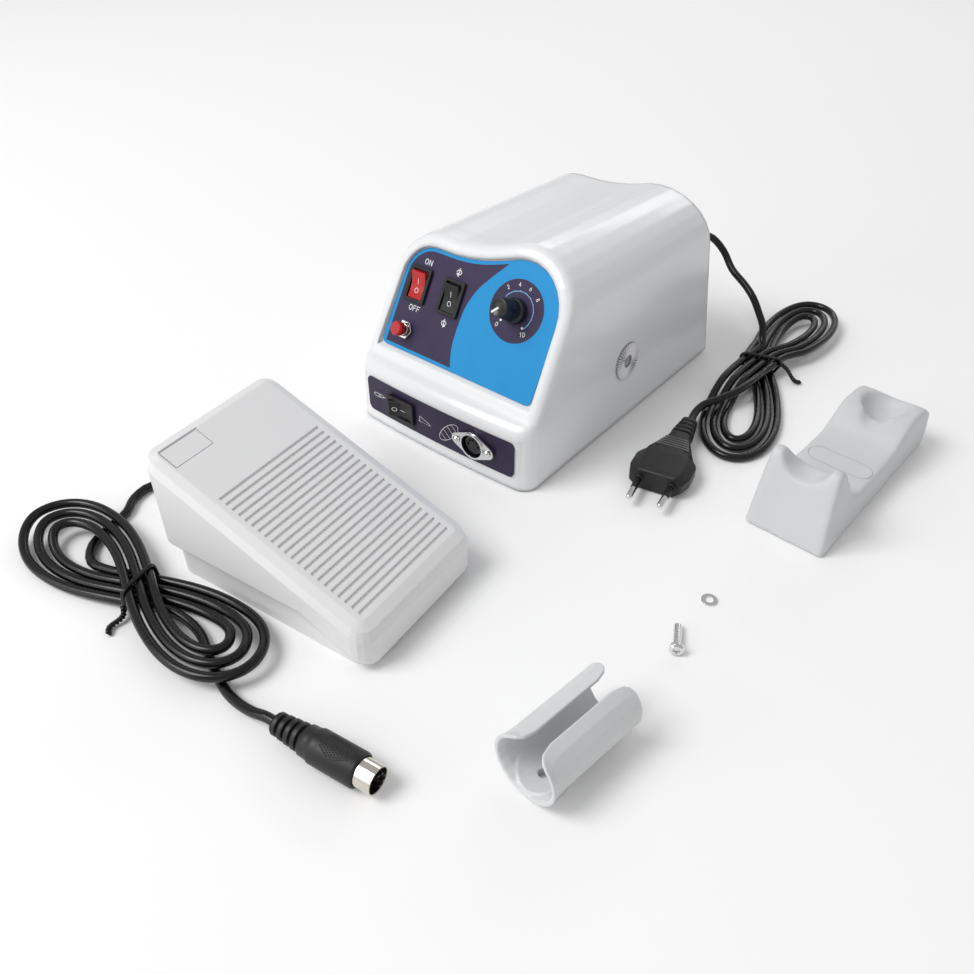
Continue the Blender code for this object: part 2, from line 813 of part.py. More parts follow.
def section(inset, drop, base_z):
    """Cross-section of the box seen from the front: two humps and a valley."""
    right = arc((RIGHT_HUMP_X, BOX_SHOULDER_Z), RIGHT_HUMP_WIDE - inset, 0, HUMP_END, 8,
                RIGHT_HUMP_HIGH - drop)
    left = arc((LEFT_HUMP_X, LEFT_HUMP_Z), LEFT_HUMP_WIDE - inset, math.pi / 2, math.pi, 6,
               LEFT_HUMP_HIGH - drop)
    near = (VALLEY_NEAR_X, VALLEY_NEAR_Z - drop)
    far = (VALLEY_FAR_X, VALLEY_FAR_Z - drop)
    valley = [bezier(right[-1], near, far, left[0], k / 5) for k in range(1, 5)]
    low_right = (side_x(BOX_HALF - inset, base_z), base_z)
    low_left = (side_x(inset - BOX_HALF, base_z), base_z)
    return [low_right] + right + valley + left + [low_left]


def panel_y(z, out=0):
    """Depth of the leaning panel at a height, moved out along its normal."""
    return PANEL_Y + (z - PANEL_Z) * math.tan(PANEL_LEAN) - out / math.cos(PANEL_LEAN)


def side_x(x, z):
    """A point of a side wall drawn in to the wall's lean at a height."""
    fall = BOX_RIGHT_FALL if x > 0 else -BOX_LEFT_FALL
    return x - fall * (z - BOX_BASE_Z) / (BOX_SHOULDER_Z - BOX_BASE_Z)


def hood_line(inset, drop, base_z, low_z):
    """Section with two more points where the panel starts above the chin."""
    line = section(inset, drop, base_z)
    right = (side_x(BOX_HALF - inset, low_z), low_z)
    left = (side_x(inset - BOX_HALF, low_z), low_z)
    return [line[0], right] + line[1:-1] + [left, line[-1]]


def hood_ring(inset, drop, out, low_z, low_y, base_z, back=0):
    """Front ring of the hood: on the panel plane above the chin, upright below it."""
    ring = []
    for i, (x, z) in enumerate(hood_line(inset, drop, base_z, low_z)):
        ends = i == 0 or z <= base_z
        y = low_y if ends else panel_y(z, out)
        fall = 1 - ROOF_FALL_SHARE * back / ROOF_RUN
        ring.append((x, y + (0 if ends else back), base_z + (z - base_z) * fall))
    return ring


def hood_back_ring(inset, drop, base_z, low_z, over=0):
    ring = []
    for x, z in hood_line(inset, drop, base_z, low_z):
        lowered = base_z + (z - base_z) * (1 - ROOF_FALL_SHARE)
        y = BOX_DEPTH - lowered * math.tan(REAR_LEAN) + over
        ring.append((x, y, lowered))
    return ring


def hood_mesh():
    lean = math.cos(PANEL_LEAN)
    base = BOX_BASE_Z
    rings = [hood_back_ring(0, 0, base, RIM_LOW_Z)]
    roof = hood_ring(0, 0, RIM_PROUD, RIM_LOW_Z, NOSE_Y, base, RIM_ROUND)
    edge = hood_ring(0, 0, RIM_PROUD, RIM_LOW_Z, NOSE_Y, base)
    face = hood_ring(RIM_ROUND, RIM_ROUND * lean, RIM_PROUD, RIM_LOW_Z, NOSE_Y, base)
    for share in (0, 0.3, 0.65, 1):
        s = 1 - share
        rings.append([tuple(s * s * p + 2 * s * share * q + share * share * r
                            for p, q, r in zip(a, b, c))
                      for a, b, c in zip(roof, edge, face)])
    verts = [v for ring in rings for v in ring]
    count = len(rings[0])
    faces = [tuple(range(count))]
    for k in range(len(rings) - 1):
        for i in range(count):
            j = (i + 1) % count
            faces.append((k * count + i, k * count + j, (k + 1) * count + j, (k + 1) * count + i))
    top = (len(rings) - 1) * count
    faces.append((top, top + 1, top + count - 2, top + count - 1))
    outer = list(range(top + 1, top + count - 1))
    for inset, out in ((RIM_WIDE, RIM_PROUD), (RIM_WIDE + PANEL_DROP / 2, -PANEL_DROP)):
        ring = hood_ring(inset, inset * lean, out, RIM_LOW_Z + inset * lean, NOSE_Y, base)[1:-1]
        start = len(verts)
        verts += ring
        inner = list(range(start, start + len(ring)))
        for i in range(len(ring)):
            j = (i + 1) % len(ring)
            faces.append((outer[i], outer[j], inner[j], inner[i]))
        outer = inner
    faces.append(tuple(outer))
    return mesh_from(verts, faces)


def hood_room_mesh():
    """Hollow of the hood, open below and behind."""
    lean = math.cos(PANEL_LEAN)
    base = ROOM_BASE_Z
    inset = RIM_WIDE + PANEL_WALL
    front = hood_ring(inset, inset * lean, -PANEL_DROP - PANEL_WALL, RIM_LOW_Z,
                      NOSE_Y + CHIN_WALL, base)
    mid = hood_ring(WALL, WALL, -PANEL_DROP - PANEL_WALL, RIM_LOW_Z, NOSE_Y + CHIN_WALL, base,
                    RIM_ROUND * 2)
    back = hood_back_ring(WALL, WALL, base, RIM_LOW_Z, BOX_BASE_Z * 4)
    return loft([front, mid, back])


def chin_outline(inset, z):
    """Plan of the chin: bulged front, rounded corners, sides that follow the box."""
    right = side_x(BOX_HALF, z) - CHIN_STEP - inset
    left = side_x(-BOX_HALF, z) + CHIN_STEP + inset
    corner = CHIN_CORNER - inset
    points = [(right, CHIN_BACK_Y)]
    for x, y in arc((right - corner, corner), corner, 0, -math.pi / 2, 4):
        points.append((x, y + inset + CHIN_BULGE))
    for share in (0.6, 0.2, -0.2, -0.6):
        x = (right - corner) * share
        points.append((x, inset + CHIN_BULGE * share * share))
    for x, y in arc((left + corner, corner), corner, -math.pi / 2, -math.pi, 4):
        points.append((x, y + inset + CHIN_BULGE))
    points.append((left, CHIN_BACK_Y))
    return points


def chin_ring(inset, drop):
    """Upper ring of the chin, which climbs to the back and follows the leaning sides."""
    ring = []
    low = CHIN_TOP_Z - drop
    for x, y in chin_outline(inset, low):
        z = low + CHIN_RISE_SHARE * y
        ring.append((side_x(x, z) + x - side_x(x, low), y, z))
    return ring


def chin_mesh():
    low = [(x, y, BOX_BASE_Z) for x, y in chin_outline(0, BOX_BASE_Z)]
    rings = [low, chin_ring(0, CHIN_ROUND)]
    rings.append(chin_ring(CHIN_ROUND * 0.3, CHIN_ROUND * 0.3))
    rings.append(chin_ring(CHIN_ROUND, 0))
    return loft(rings)


def rosette_mesh():
    """Ring of radial teeth on a flat root, turned about Z."""
    count = ROSETTE_TEETH * 2
    rings = []
    for radius, high in ((ROSETTE_IN, None), (ROSETTE_IN, 1), (ROSETTE_OUT, 1),
                         (ROSETTE_OUT, None)):
        ring = []
        for i in range(count):
            angle = 2 * math.pi * i / count
            top = ROSETTE_HIGH if i % 2 else ROSETTE_LOW
            z = top if high else -ROSETTE_ROOT
            ring.append((radius * math.cos(angle), radius * math.sin(angle), z))
        rings.append(ring)
    rings.append(rings[0])
    verts = [v for ring in rings[:-1] for v in ring]
    faces = []
    for k in range(4):
        following = (k + 1) % 4
        for i in range(count):
            j = (i + 1) % count
            faces.append((k * count + i, k * count + j, following * count + j,
                          following * count + i))
    return mesh_from(verts, faces)


def housing_shell(box, panel):
    shell = part("housing_shell", hood_mesh(), "shell", box)
    fuse(shell, tool("chin", chin_mesh(), box))
    cut(shell, tool("hood_room", hood_room_mesh(), box))
    half = (NOSE_Y + CHIN_WALL) / 2
    room = block(CHIN_ROOM_HALF, half, -BOX_BASE_Z, CHIN_ROOM_TOP_Z)
    cut(shell, tool("chin_room", room, box, (0, CHIN_WALL + CHIN_BULGE / 2 + half, 0)))
    for x in (-POST_X, POST_X):
        for y in (POST_FRONT_Y, POST_BACK_Y):
            name = "post_%s_%s" % ("left" if x < 0 else "right", "front" if y < CORE_Y else "back")
            post = rod(POST_RADIUS, BASE_UNDER_Z + BASE_THICK + GAP, POST_HIGH, 20)
            fuse(shell, tool(name, post, box, (x, y, 0)))
            bore = rod(POST_BORE, BOX_BASE_Z, POST_HIGH - BASE_THICK, 12)
            cut(shell, tool(name + "_bore", bore, box, (x, y, 0)))
    wall_lean = Matrix.Rotation(math.atan2(BOX_RIGHT_FALL, BOX_SHOULDER_Z), 4, "Y")
    rosette_x = side_x(BOX_HALF, ROSETTE_Z)
    out = Matrix.Rotation(math.pi / 2, 4, "Y") @ wall_lean.inverted()
    place = (rosette_x, ROSETTE_Y, ROSETTE_Z)
    fuse(shell, tool("rosette", rosette_mesh(), box, place, out))
    hole = rod(ROSETTE_HOLE, -WALL * 2, WALL * 2, 16)
    cut(shell, tool("rosette_hole", hole, box, place, out))
    panel_holes(shell, panel)
    chin_holes(shell, box)
    return shell


def switch_hole():
    return block(SWITCH_BODY_HALF_WIDE + GAP, SWITCH_BODY_HALF_LONG + GAP,
                 -PANEL_WALL * 4, PANEL_WALL)


def panel_holes(body, panel):
    name = body.name
    for which, place in (("power", POWER_PLACE), ("direction", DIRECTION_PLACE)):
        cut(body, tool(name + "_" + which, switch_hole(), panel, (*place, 0)))
    for which, place, radius in (("reset", RESET_PLACE, RESET_HOLE),
                                 ("speed", KNOB_PLACE, POT_HOLE)):
        hole = rod(radius, -PANEL_WALL * 4, PANEL_WALL, 20)
        cut(body, tool(name + "_" + which, hole, panel, (*place, 0)))


def chin_holes(body, box):
    name = body.name
    y = NOSE_Y / 2
    hole = block(SWITCH_BODY_HALF_WIDE + GAP, SWITCH_BODY_HALF_LONG + GAP, -NOSE_Y, NOSE_Y)
    cut(body, tool(name + "_source", hole, box, (SOURCE_X, y, SOURCE_Z), CHIN_TURN))
    hole = rod(SOCKET_BARREL + GAP, -NOSE_Y, NOSE_Y, 28)
    cut(body, tool(name + "_socket", hole, box, (SOCKET_X, y, SOCKET_Z), FRONT_TURN))
    for side in (-1, 1):
        hole = rod(SOCKET_SCREW_HOLE, -NOSE_Y, NOSE_Y, 12)
        place = (SOCKET_X + side * SOCKET_SCREW_X, y, SOCKET_Z)
        cut(body, tool(name + "_screw%d" % side, hole, box, place, FRONT_TURN))


def skin_outline():
    """Outline of the printed skin on the panel, x across and t up the panel."""
    right = arc(SKIN_RIGHT_CENTRE, SKIN_RIGHT_RADIUS, 0, HUMP_END, 10)
    left = arc(SKIN_LEFT_CENTRE, SKIN_LEFT_RADIUS, math.pi / 2, math.pi, 8)
    valley = [bezier(right[-1], SKIN_VALLEY[1], SKIN_VALLEY[0], left[0], k / 6)
              for k in range(1, 6)]
    corner = SKIN_CORNER
    low_left = arc((SKIN_LEFT_LOW + corner, corner), corner, math.pi, 1.5 * math.pi, 3)
    low_right = arc((SKIN_RIGHT_LOW - corner, corner), corner, -math.pi / 2, 0, 3)
    return right + valley + left + low_left + low_right


def panel_overlay(panel):
    skin = part("panel_overlay", flat([skin_outline()], -SKIN, 0), "panel_blue", panel)
    panel_holes(skin, panel)
    return skin


def chin_overlay(box):
    """Printed strip that follows the bulge of the chin."""
    rings = []
    end_shares = (0, 0.012, 0.027)
    shares = [*end_shares, 0.15, 0.32, 0.5, 0.68, 0.85, *(1 - e for e in reversed(end_shares))]
    long = CHIN_STRIP_RIGHT - CHIN_STRIP_LEFT
    for share in shares:
        x = CHIN_STRIP_LEFT + long * share
        edge = min(share, 1 - share) * long
        inset = 0
        if edge < CHIN_STRIP_ROUND:
            reach = CHIN_STRIP_ROUND - edge
            inset = CHIN_STRIP_ROUND - math.sqrt(CHIN_STRIP_ROUND ** 2 - reach ** 2) * 0.98
        back = CHIN_BULGE * (x / (BOX_HALF - CHIN_CORNER)) ** 2 - GAP
        low = CHIN_STRIP_LOW + inset
        high = CHIN_STRIP_HIGH - inset
        rings.append([(x, back, low), (x, back - SKIN, low), (x, back - SKIN, high),
                      (x, back, high)])
    strip = part("chin_overlay", loft(rings), "panel_dark", box)
    chin_holes(strip, box)
    return strip


def rocker_switch(name, frame, place, turn=None, red=False, side=1):
    """A switch with its bezel and body, and its rocker on a hinge across X."""
    holder = empty(name + "_frame", frame, place, turn)
    loop = rounded_box(-BEZEL_HALF_WIDE, BEZEL_HALF_WIDE, -BEZEL_HALF_LONG, BEZEL_HALF_LONG,
                       BEZEL_ROUND, 2)
    switch = part(name + "_switch", flat([loop], GAP, BEZEL_HIGH), "black", holder)
    rounded(switch, BEZEL_ROUND / 2, 1)
    body = block(SWITCH_BODY_HALF_WIDE, SWITCH_BODY_HALF_LONG, -SWITCH_BODY_DEEP, BEZEL_HIGH / 2)
    fuse(switch, tool(name + "_body", body, holder))
    for k in (-1, 0, 1):
        blade = block(TERMINAL_HALF, TERMINAL_THICK / 2, -SWITCH_BODY_DEEP - TERMINAL_LONG,
                      -SWITCH_BODY_DEEP + TERMINAL_THICK)
        fuse(switch, tool(name + "_blade%d" % k, blade, holder, (0, k * TERMINAL_PITCH, 0)))
    well = block(ROCKER_HALF_WIDE + ROCKER_WELL_CLEAR / 2, ROCKER_HALF_LONG + ROCKER_WELL_CLEAR,
                 BEZEL_HIGH - ROCKER_WELL_DEEP, BEZEL_HIGH + CUT_OVER)
    cut(switch, tool(name + "_well", well, holder))
    end = ROCKER_HALF_LONG
    shape = [(-end, ROCKER_END_H), (-end / 2, (ROCKER_END_H + ROCKER_MIDDLE_H * 2) / 3),
             (0, ROCKER_MIDDLE_H), (end / 2, (ROCKER_END_H + ROCKER_MIDDLE_H * 2) / 3),
             (end, ROCKER_END_H), (end, ROCKER_SIDE_H), (ROCKER_FOOT_HALF, ROCKER_FOOT_H),
             (-ROCKER_FOOT_HALF, ROCKER_FOOT_H), (-end, ROCKER_SIDE_H)]
    mesh = flat([shape], -ROCKER_HALF_WIDE, ROCKER_HALF_WIDE)
    mesh.transform(Matrix(((0, 0, 1, 0), (1, 0, 0, 0), (0, 1, 0, 0), (0, 0, 0, 1))))
    tilt = Matrix.Rotation(side * ROCKER_TILT, 4, "X")
    rocker = part(name + "_rocker", mesh, "red" if red else "black", holder,
                  (0, 0, ROCKER_PIVOT_H), tilt)
    rounded(rocker, BEZEL_ROUND / 3, 1)
    return switch, rocker


def hex_outline(half):
    reach = half / math.cos(math.pi / 6)
    return [(reach * math.cos(k * math.pi / 3), reach * math.sin(k * math.pi / 3))
            for k in range(6)]


def hex_nut(name, panel, place, half, bore, high):
    loops = [hex_outline(half), list(reversed(arc((0, 0), bore, 0, 2 * math.pi, 20)[:-1]))]
    nut = part(name, flat(loops, GAP, high), "steel", panel, (*place, 0))
    rounded(nut, GAP, 1)
    return nut


def reset_parts(panel):
    place = (*RESET_PLACE, 0)
    under = -PANEL_DROP - PANEL_WALL - GAP
    turned("reset_breaker", [
        (0, -RESET_BORE_DEEP), (RESET_BORE, -RESET_BORE_DEEP), (RESET_BORE, RESET_BUSH_TOP),
        (RESET_BUSH, RESET_BUSH_TOP), (RESET_BUSH, under), (RESET_BODY, under),
        (RESET_BODY, under - RESET_BODY_DEEP), (0, under - RESET_BODY_DEEP)], "black", panel,
        place, steps=20)
    hex_nut("reset_nut", panel, RESET_PLACE, RESET_NUT_HALF, RESET_BUSH + GAP, RESET_NUT_HIGH)
    turned("reset_button", [
        (0, RESET_CAP_TOP), (RESET_CAP - RESET_CAP_ROUND, RESET_CAP_TOP),
        (RESET_CAP, RESET_CAP_TOP - RESET_CAP_ROUND), (RESET_CAP, RESET_CAP_LOW),
        (RESET_STEM, RESET_CAP_LOW), (RESET_STEM, RESET_STEM_FOOT), (0, RESET_STEM_FOOT)],
        "red", panel, place, steps=20)


def speed_parts(panel):
    place = (*KNOB_PLACE, 0)
    turned("speed_potentiometer", [
        (0, POT_SHAFT_TOP), (POT_SHAFT, POT_SHAFT_TOP), (POT_SHAFT, POT_BUSH_TOP),
        (POT_BUSH, POT_BUSH_TOP), (POT_BUSH, POT_BODY_TOP), (POT_BODY, POT_BODY_TOP),
        (POT_BODY, POT_BODY_TOP - POT_BODY_DEEP), (0, POT_BODY_TOP - POT_BODY_DEEP)],
        "steel", panel, place)
    hex_nut("potentiometer_nut", panel, KNOB_PLACE, POT_NUT_HALF, POT_BUSH + GAP, POT_NUT_HIGH)
    knob = turned("speed_knob", [
        (0, KNOB_TOP), (KNOB_FACE - KNOB_ROUND, KNOB_TOP), (KNOB_FACE, KNOB_TOP - KNOB_ROUND),
        (KNOB_WAIST, KNOB_SKIRT_TOP + KNOB_ROUND), (KNOB_SKIRT - KNOB_ROUND, KNOB_SKIRT_TOP),
        (KNOB_SKIRT, KNOB_SKIRT_TOP - KNOB_ROUND), (KNOB_SKIRT, KNOB_SKIRT_LOW),
        (KNOB_WELL, KNOB_SKIRT_LOW), (KNOB_WELL, KNOB_WELL_TOP), (KNOB_BORE, KNOB_WELL_TOP),
        (KNOB_BORE, KNOB_BORE_TOP), (0, KNOB_BORE_TOP)], "black", panel, place)
    holder = empty("pointer_frame", panel, place, Matrix.Rotation(math.radians(135), 4, "Z"))
    line = block(KNOB_POINTER_HALF, KNOB_FACE / 2, KNOB_TOP - KNOB_POINTER_DEEP,
                 KNOB_TOP + CUT_OVER)
    cut(knob, tool("pointer", line, holder, (0, KNOB_FACE / 2, 0)))


def socket_outline():
    """Flange that narrows from the round middle to an ear at each screw."""
    points = []
    for side in (0, math.pi):
        ear = SOCKET_SCREW_X if side == 0 else -SOCKET_SCREW_X
        points += arc((ear, 0), SOCKET_FLANGE_HALF - SOCKET_SCREW_X, side - math.pi / 3,
                      side + math.pi / 3, 4)
        points += arc((0, 0), SOCKET_FLANGE_HIGH, side + math.pi / 2 - math.pi / 7,
                      side + math.pi / 2 + math.pi / 7, 3)
    return points


def pin_places():
    return [(PIN_CIRCLE * math.cos(math.pi / 2 + k * PIN_FAN),
             PIN_CIRCLE * math.sin(math.pi / 2 + k * PIN_FAN)) for k in (-2, -1, 0, 1, 2)]


def din_socket(box):
    face_y = -GAP * 2 - SKIN
    holder = empty("socket_frame", box, (SOCKET_X, face_y, SOCKET_Z), FRONT_TURN)
    top = SOCKET_FLANGE_THICK + SOCKET_LIP_HIGH
    socket = turned("din_socket", [
        (0, top - SOCKET_CORE_DROP), (SOCKET_CORE, top - SOCKET_CORE_DROP),
        (SOCKET_CORE, top - SOCKET_DEEP), (SOCKET_OPENING, top - SOCKET_DEEP),
        (SOCKET_OPENING, top), (SOCKET_BARREL, top), (SOCKET_BARREL, -SOCKET_BARREL_LONG),
        (0, -SOCKET_BARREL_LONG)], "steel", holder, steps=28)
    ring = flat([socket_outline(), list(reversed(
        arc((0, 0), (SOCKET_OPENING + SOCKET_BARREL) / 2, 0, 2 * math.pi, 28)[:-1]))],
        0, SOCKET_FLANGE_THICK)
    fuse(socket, tool("socket_flange", ring, holder))
    for k, (x, y) in enumerate(pin_places()):
        hole = rod(PIN_HOLE, top - SOCKET_CORE_DROP - PIN_HOLE_DEEP, top, 8)
        cut(socket, tool("socket_hole%d" % k, hole, holder, (x, y, 0)))
    for side, name in ((-1, "din_screw_left"), (1, "din_screw_right")):
        place = (side * SOCKET_SCREW_X, 0, 0)
        hole = rod(SOCKET_SCREW_HOLE, -CUT_OVER, SOCKET_FLANGE_THICK + CUT_OVER, 12)
        cut(socket, tool(name + "_way", hole, holder, place))
        low = SOCKET_FLANGE_THICK + GAP
        turned(name, [
            (0, low + SOCKET_SCREW_HIGH), (SOCKET_SCREW_HEAD * 0.6, low + SOCKET_SCREW_HIGH),
            (SOCKET_SCREW_HEAD, low + SOCKET_SCREW_HIGH / 3), (SOCKET_SCREW_HEAD, low),
            (SOCKET_SCREW, low), (SOCKET_SCREW, -SOCKET_SCREW_LONG), (0, -SOCKET_SCREW_LONG)],
            "steel", holder, place, steps=14)
    return socket


def base_plate(box):
    half = BOX_HALF - WALL - BASE_SIDE_GAP
    loop = rounded_box(-half, half, BASE_FRONT_Y, BASE_BACK_Y, BASE_CORNER, 2)
    plate = part("base_plate", flat([loop], BASE_UNDER_Z, BASE_UNDER_Z + BASE_THICK), "iron", box)
    for x in (-1, 1):
        for y in (-1, 1):
            post = rod(BOARD_POST, BASE_UNDER_Z + BASE_THICK / 2,
                       BASE_UNDER_Z + BASE_THICK + BOARD_POST_HIGH, 12)
            place = (BOARD_X + x * BOARD_POST_X, BOARD_Y + y * BOARD_POST_Y, 0)
            fuse(plate, tool("board_post%d%d" % (x, y), post, box, place))
            spot = (x * POST_X, POST_FRONT_Y if y < 0 else POST_BACK_Y, 0)
            hole = rod(BASE_SCREW_HOLE, 0, BASE_UNDER_Z + BASE_THICK * 2, 12)
            cut(plate, tool("screw_way%d%d" % (x, y), hole, box, spot))
            side = "left" if x < 0 else "right"
            end = "front" if y < 0 else "rear"
            low = BASE_UNDER_Z - GAP
            turned("base_screw_%s_%s" % (end, side), [
                (0, low + BASE_SCREW_LONG), (BASE_SCREW, low + BASE_SCREW_LONG),
                (BASE_SCREW, low), (BASE_SCREW_HEAD, low), (BASE_SCREW_HEAD, low - BASE_SCREW_HIGH / 2),
                (BASE_SCREW_HEAD * 0.7, low - BASE_SCREW_HIGH), (0, low - BASE_SCREW_HIGH)],
                "steel", box, spot, steps=12)
            spot = (x * FOOT_X, FOOT_FRONT_Y if y < 0 else FOOT_BACK_Y, 0)
            top = BASE_UNDER_Z - GAP
            turned("foot_%s_%s" % (end, side), [
                (0, top), (FOOT_RADIUS, top), (FOOT_RADIUS, FOOT_ROUND),
                (FOOT_RADIUS - FOOT_ROUND, 0), (0, 0)], "rubber", box, spot, steps=20)


def rear_section(inset):
    """The box's own section where the rear panel stands."""
    line = []
    for x, z in section(inset, inset, REAR_LOW_Z):
        lowered = ROOM_BASE_Z + (z - ROOM_BASE_Z) * (1 - ROOF_FALL_SHARE)
        line.append((x, lowered))
    return line


def rear_ring(inset, back):
    ring = []
    for x, z in rear_section(inset):
        lean = math.tan(REAR_LEAN)
        ring.append((x, BOX_DEPTH - z * lean - back / math.cos(REAR_LEAN), z))
    return ring


def rear_spot(x, z):
    return (x, BOX_DEPTH - z * math.tan(REAR_LEAN) - REAR_INSET / math.cos(REAR_LEAN), z)


def rear_panel(box):
    inset = WALL + GAP
    mesh = loft([rear_ring(inset, REAR_INSET), rear_ring(inset, REAR_INSET + REAR_THICK)])
    panel = part("rear_panel", mesh, "shell", box)
    for name, x, z, radius in (("gland_way", GLAND_X, GLAND_Z, GLAND_HOLE),
                               ("fuse_way", FUSE_X, FUSE_Z, FUSE_HOLE)):
        hole = rod(radius, -REAR_THICK * 2, REAR_THICK, 20)
        cut(panel, tool(name, hole, box, rear_spot(x, z), REAR_TURN))
    flange = GAP + GLAND_FLANGE_THICK
    turned("cord_gland", [
        (0, flange + GLAND_NOSE_LONG), (GLAND_NOSE, flange + GLAND_NOSE_LONG),
        (GLAND_NECK, flange), (GLAND_FLANGE, flange), (GLAND_FLANGE, GAP), (GLAND_NECK, GAP),
        (GLAND_NECK, -GLAND_NECK_LONG), (0, -GLAND_NECK_LONG)], "black", box,
        rear_spot(GLAND_X, GLAND_Z), REAR_TURN, steps=20)
    flange = GAP + FUSE_FLANGE_THICK
    turned("fuse_holder", [
        (0, flange + FUSE_CAP_LONG), (FUSE_CAP, flange + FUSE_CAP_LONG), (FUSE_CAP, flange),
        (FUSE_FLANGE, flange), (FUSE_FLANGE, GAP), (FUSE_BODY, GAP),
        (FUSE_BODY, -FUSE_BODY_LONG), (0, -FUSE_BODY_LONG)], "black", box,
        rear_spot(FUSE_X, FUSE_Z), REAR_TURN, steps=20)


def transformer(box):
    foot = BASE_UNDER_Z + BASE_THICK + GAP
    middle = CORE_HIGH / 2
    window = CORE_WINDOW_HALF_HIGH
    outer = [(-CORE_HALF, 0), (CORE_HALF, 0), (CORE_HALF, CORE_HIGH), (-CORE_HALF, CORE_HIGH)]
    loops = [outer]
    for side in (-1, 1):
        near = side * CORE_LEG_HALF
        far = side * (CORE_HALF - CORE_YOKE)
        loops.append([(near, middle - window), (near, middle + window), (far, middle + window),
                      (far, middle - window)])
    core = part("transformer_core", flat(loops, -CORE_HALF_THICK, CORE_HALF_THICK), "iron", box,
                (CORE_X, CORE_Y, foot), FRONT_TURN)
    rounded(core, GAP, 1)
    inner_x = CORE_LEG_HALF + GAP
    inner_y = CORE_HALF_THICK + GAP
    outer_x = CORE_HALF - CORE_YOKE - GAP
    outer_y = CORE_HALF_THICK + COIL_WALL
    corner = COIL_WALL / 2
    loops = [rounded_box(-outer_x, outer_x, -outer_y, outer_y, corner, 3),
             [(-inner_x, -inner_y), (-inner_x, inner_y), (inner_x, inner_y), (inner_x, -inner_y)]]
    part("transformer_coil", flat(loops, middle - window + GAP, middle + window - GAP), "copper",
         box, (CORE_X, CORE_Y, foot))


def board_parts(box):
    low = BASE_UNDER_Z + BASE_THICK + BOARD_POST_HIGH + GAP
    part("circuit_board", block(BOARD_HALF_X, BOARD_HALF_Y, 0, BOARD_THICK), "board", box,
         (BOARD_X, BOARD_Y, low))
    top = low + BOARD_THICK + GAP
    sink = part("heat_sink", block(SINK_HALF_X, SINK_HALF_Y, 0, SINK_HIGH), "aluminium", box,
                (BOARD_X + SINK_X, BOARD_Y, top))
    room = (2 * SINK_HALF_X - SINK_FINS * SINK_FIN) / (SINK_FINS - 1)
    for k in range(SINK_FINS - 1):
        x = -SINK_HALF_X + SINK_FIN + room / 2 + k * (room + SINK_FIN)
        slot = block(room / 2, SINK_HALF_Y + CUT_OVER, SINK_BASE, SINK_HIGH + CUT_OVER)
        cut(sink, tool("sink_slot%d" % k, slot, box, (BOARD_X + SINK_X + x, BOARD_Y, top)))
    turned("filter_capacitor", [
        (0, CAP_HIGH), (CAP_RADIUS - CAP_ROUND, CAP_HIGH), (CAP_RADIUS, CAP_HIGH - CAP_ROUND),
        (CAP_RADIUS, 0), (0, 0)], "black", box, (BOARD_X + CAP_X, BOARD_Y, top), steps=20)


def pedal_top(along):
    return PEDAL_TOP_Z - along * math.tan(PEDAL_SLOPE)


def skirt_z(along):
    """Lower edge of the skirt: level at the heel, then falling to the toe."""
    if along < SKIRT_BEND:
        return SKIRT_HEEL_Z
    share = (along - SKIRT_BEND) / (PEDAL_TOE - SKIRT_BEND)
    return SKIRT_HEEL_Z + (SKIRT_TOE_Z - SKIRT_HEEL_Z) * share ** 0.85


def pedal_outline(inset):
    corner = PEDAL_CORNER - inset
    box = rounded_box(PEDAL_HEEL + inset, PEDAL_TOE - inset, inset - PEDAL_HALF,
                      PEDAL_HALF - inset, corner, 4)
    low = [(SKIRT_BEND, inset - PEDAL_HALF), (2 * SKIRT_BEND, inset - PEDAL_HALF)]
    high = [(2 * SKIRT_BEND, PEDAL_HALF - inset), (SKIRT_BEND, PEDAL_HALF - inset)]
    return box[:5] + high + box[5:15] + low + box[15:]


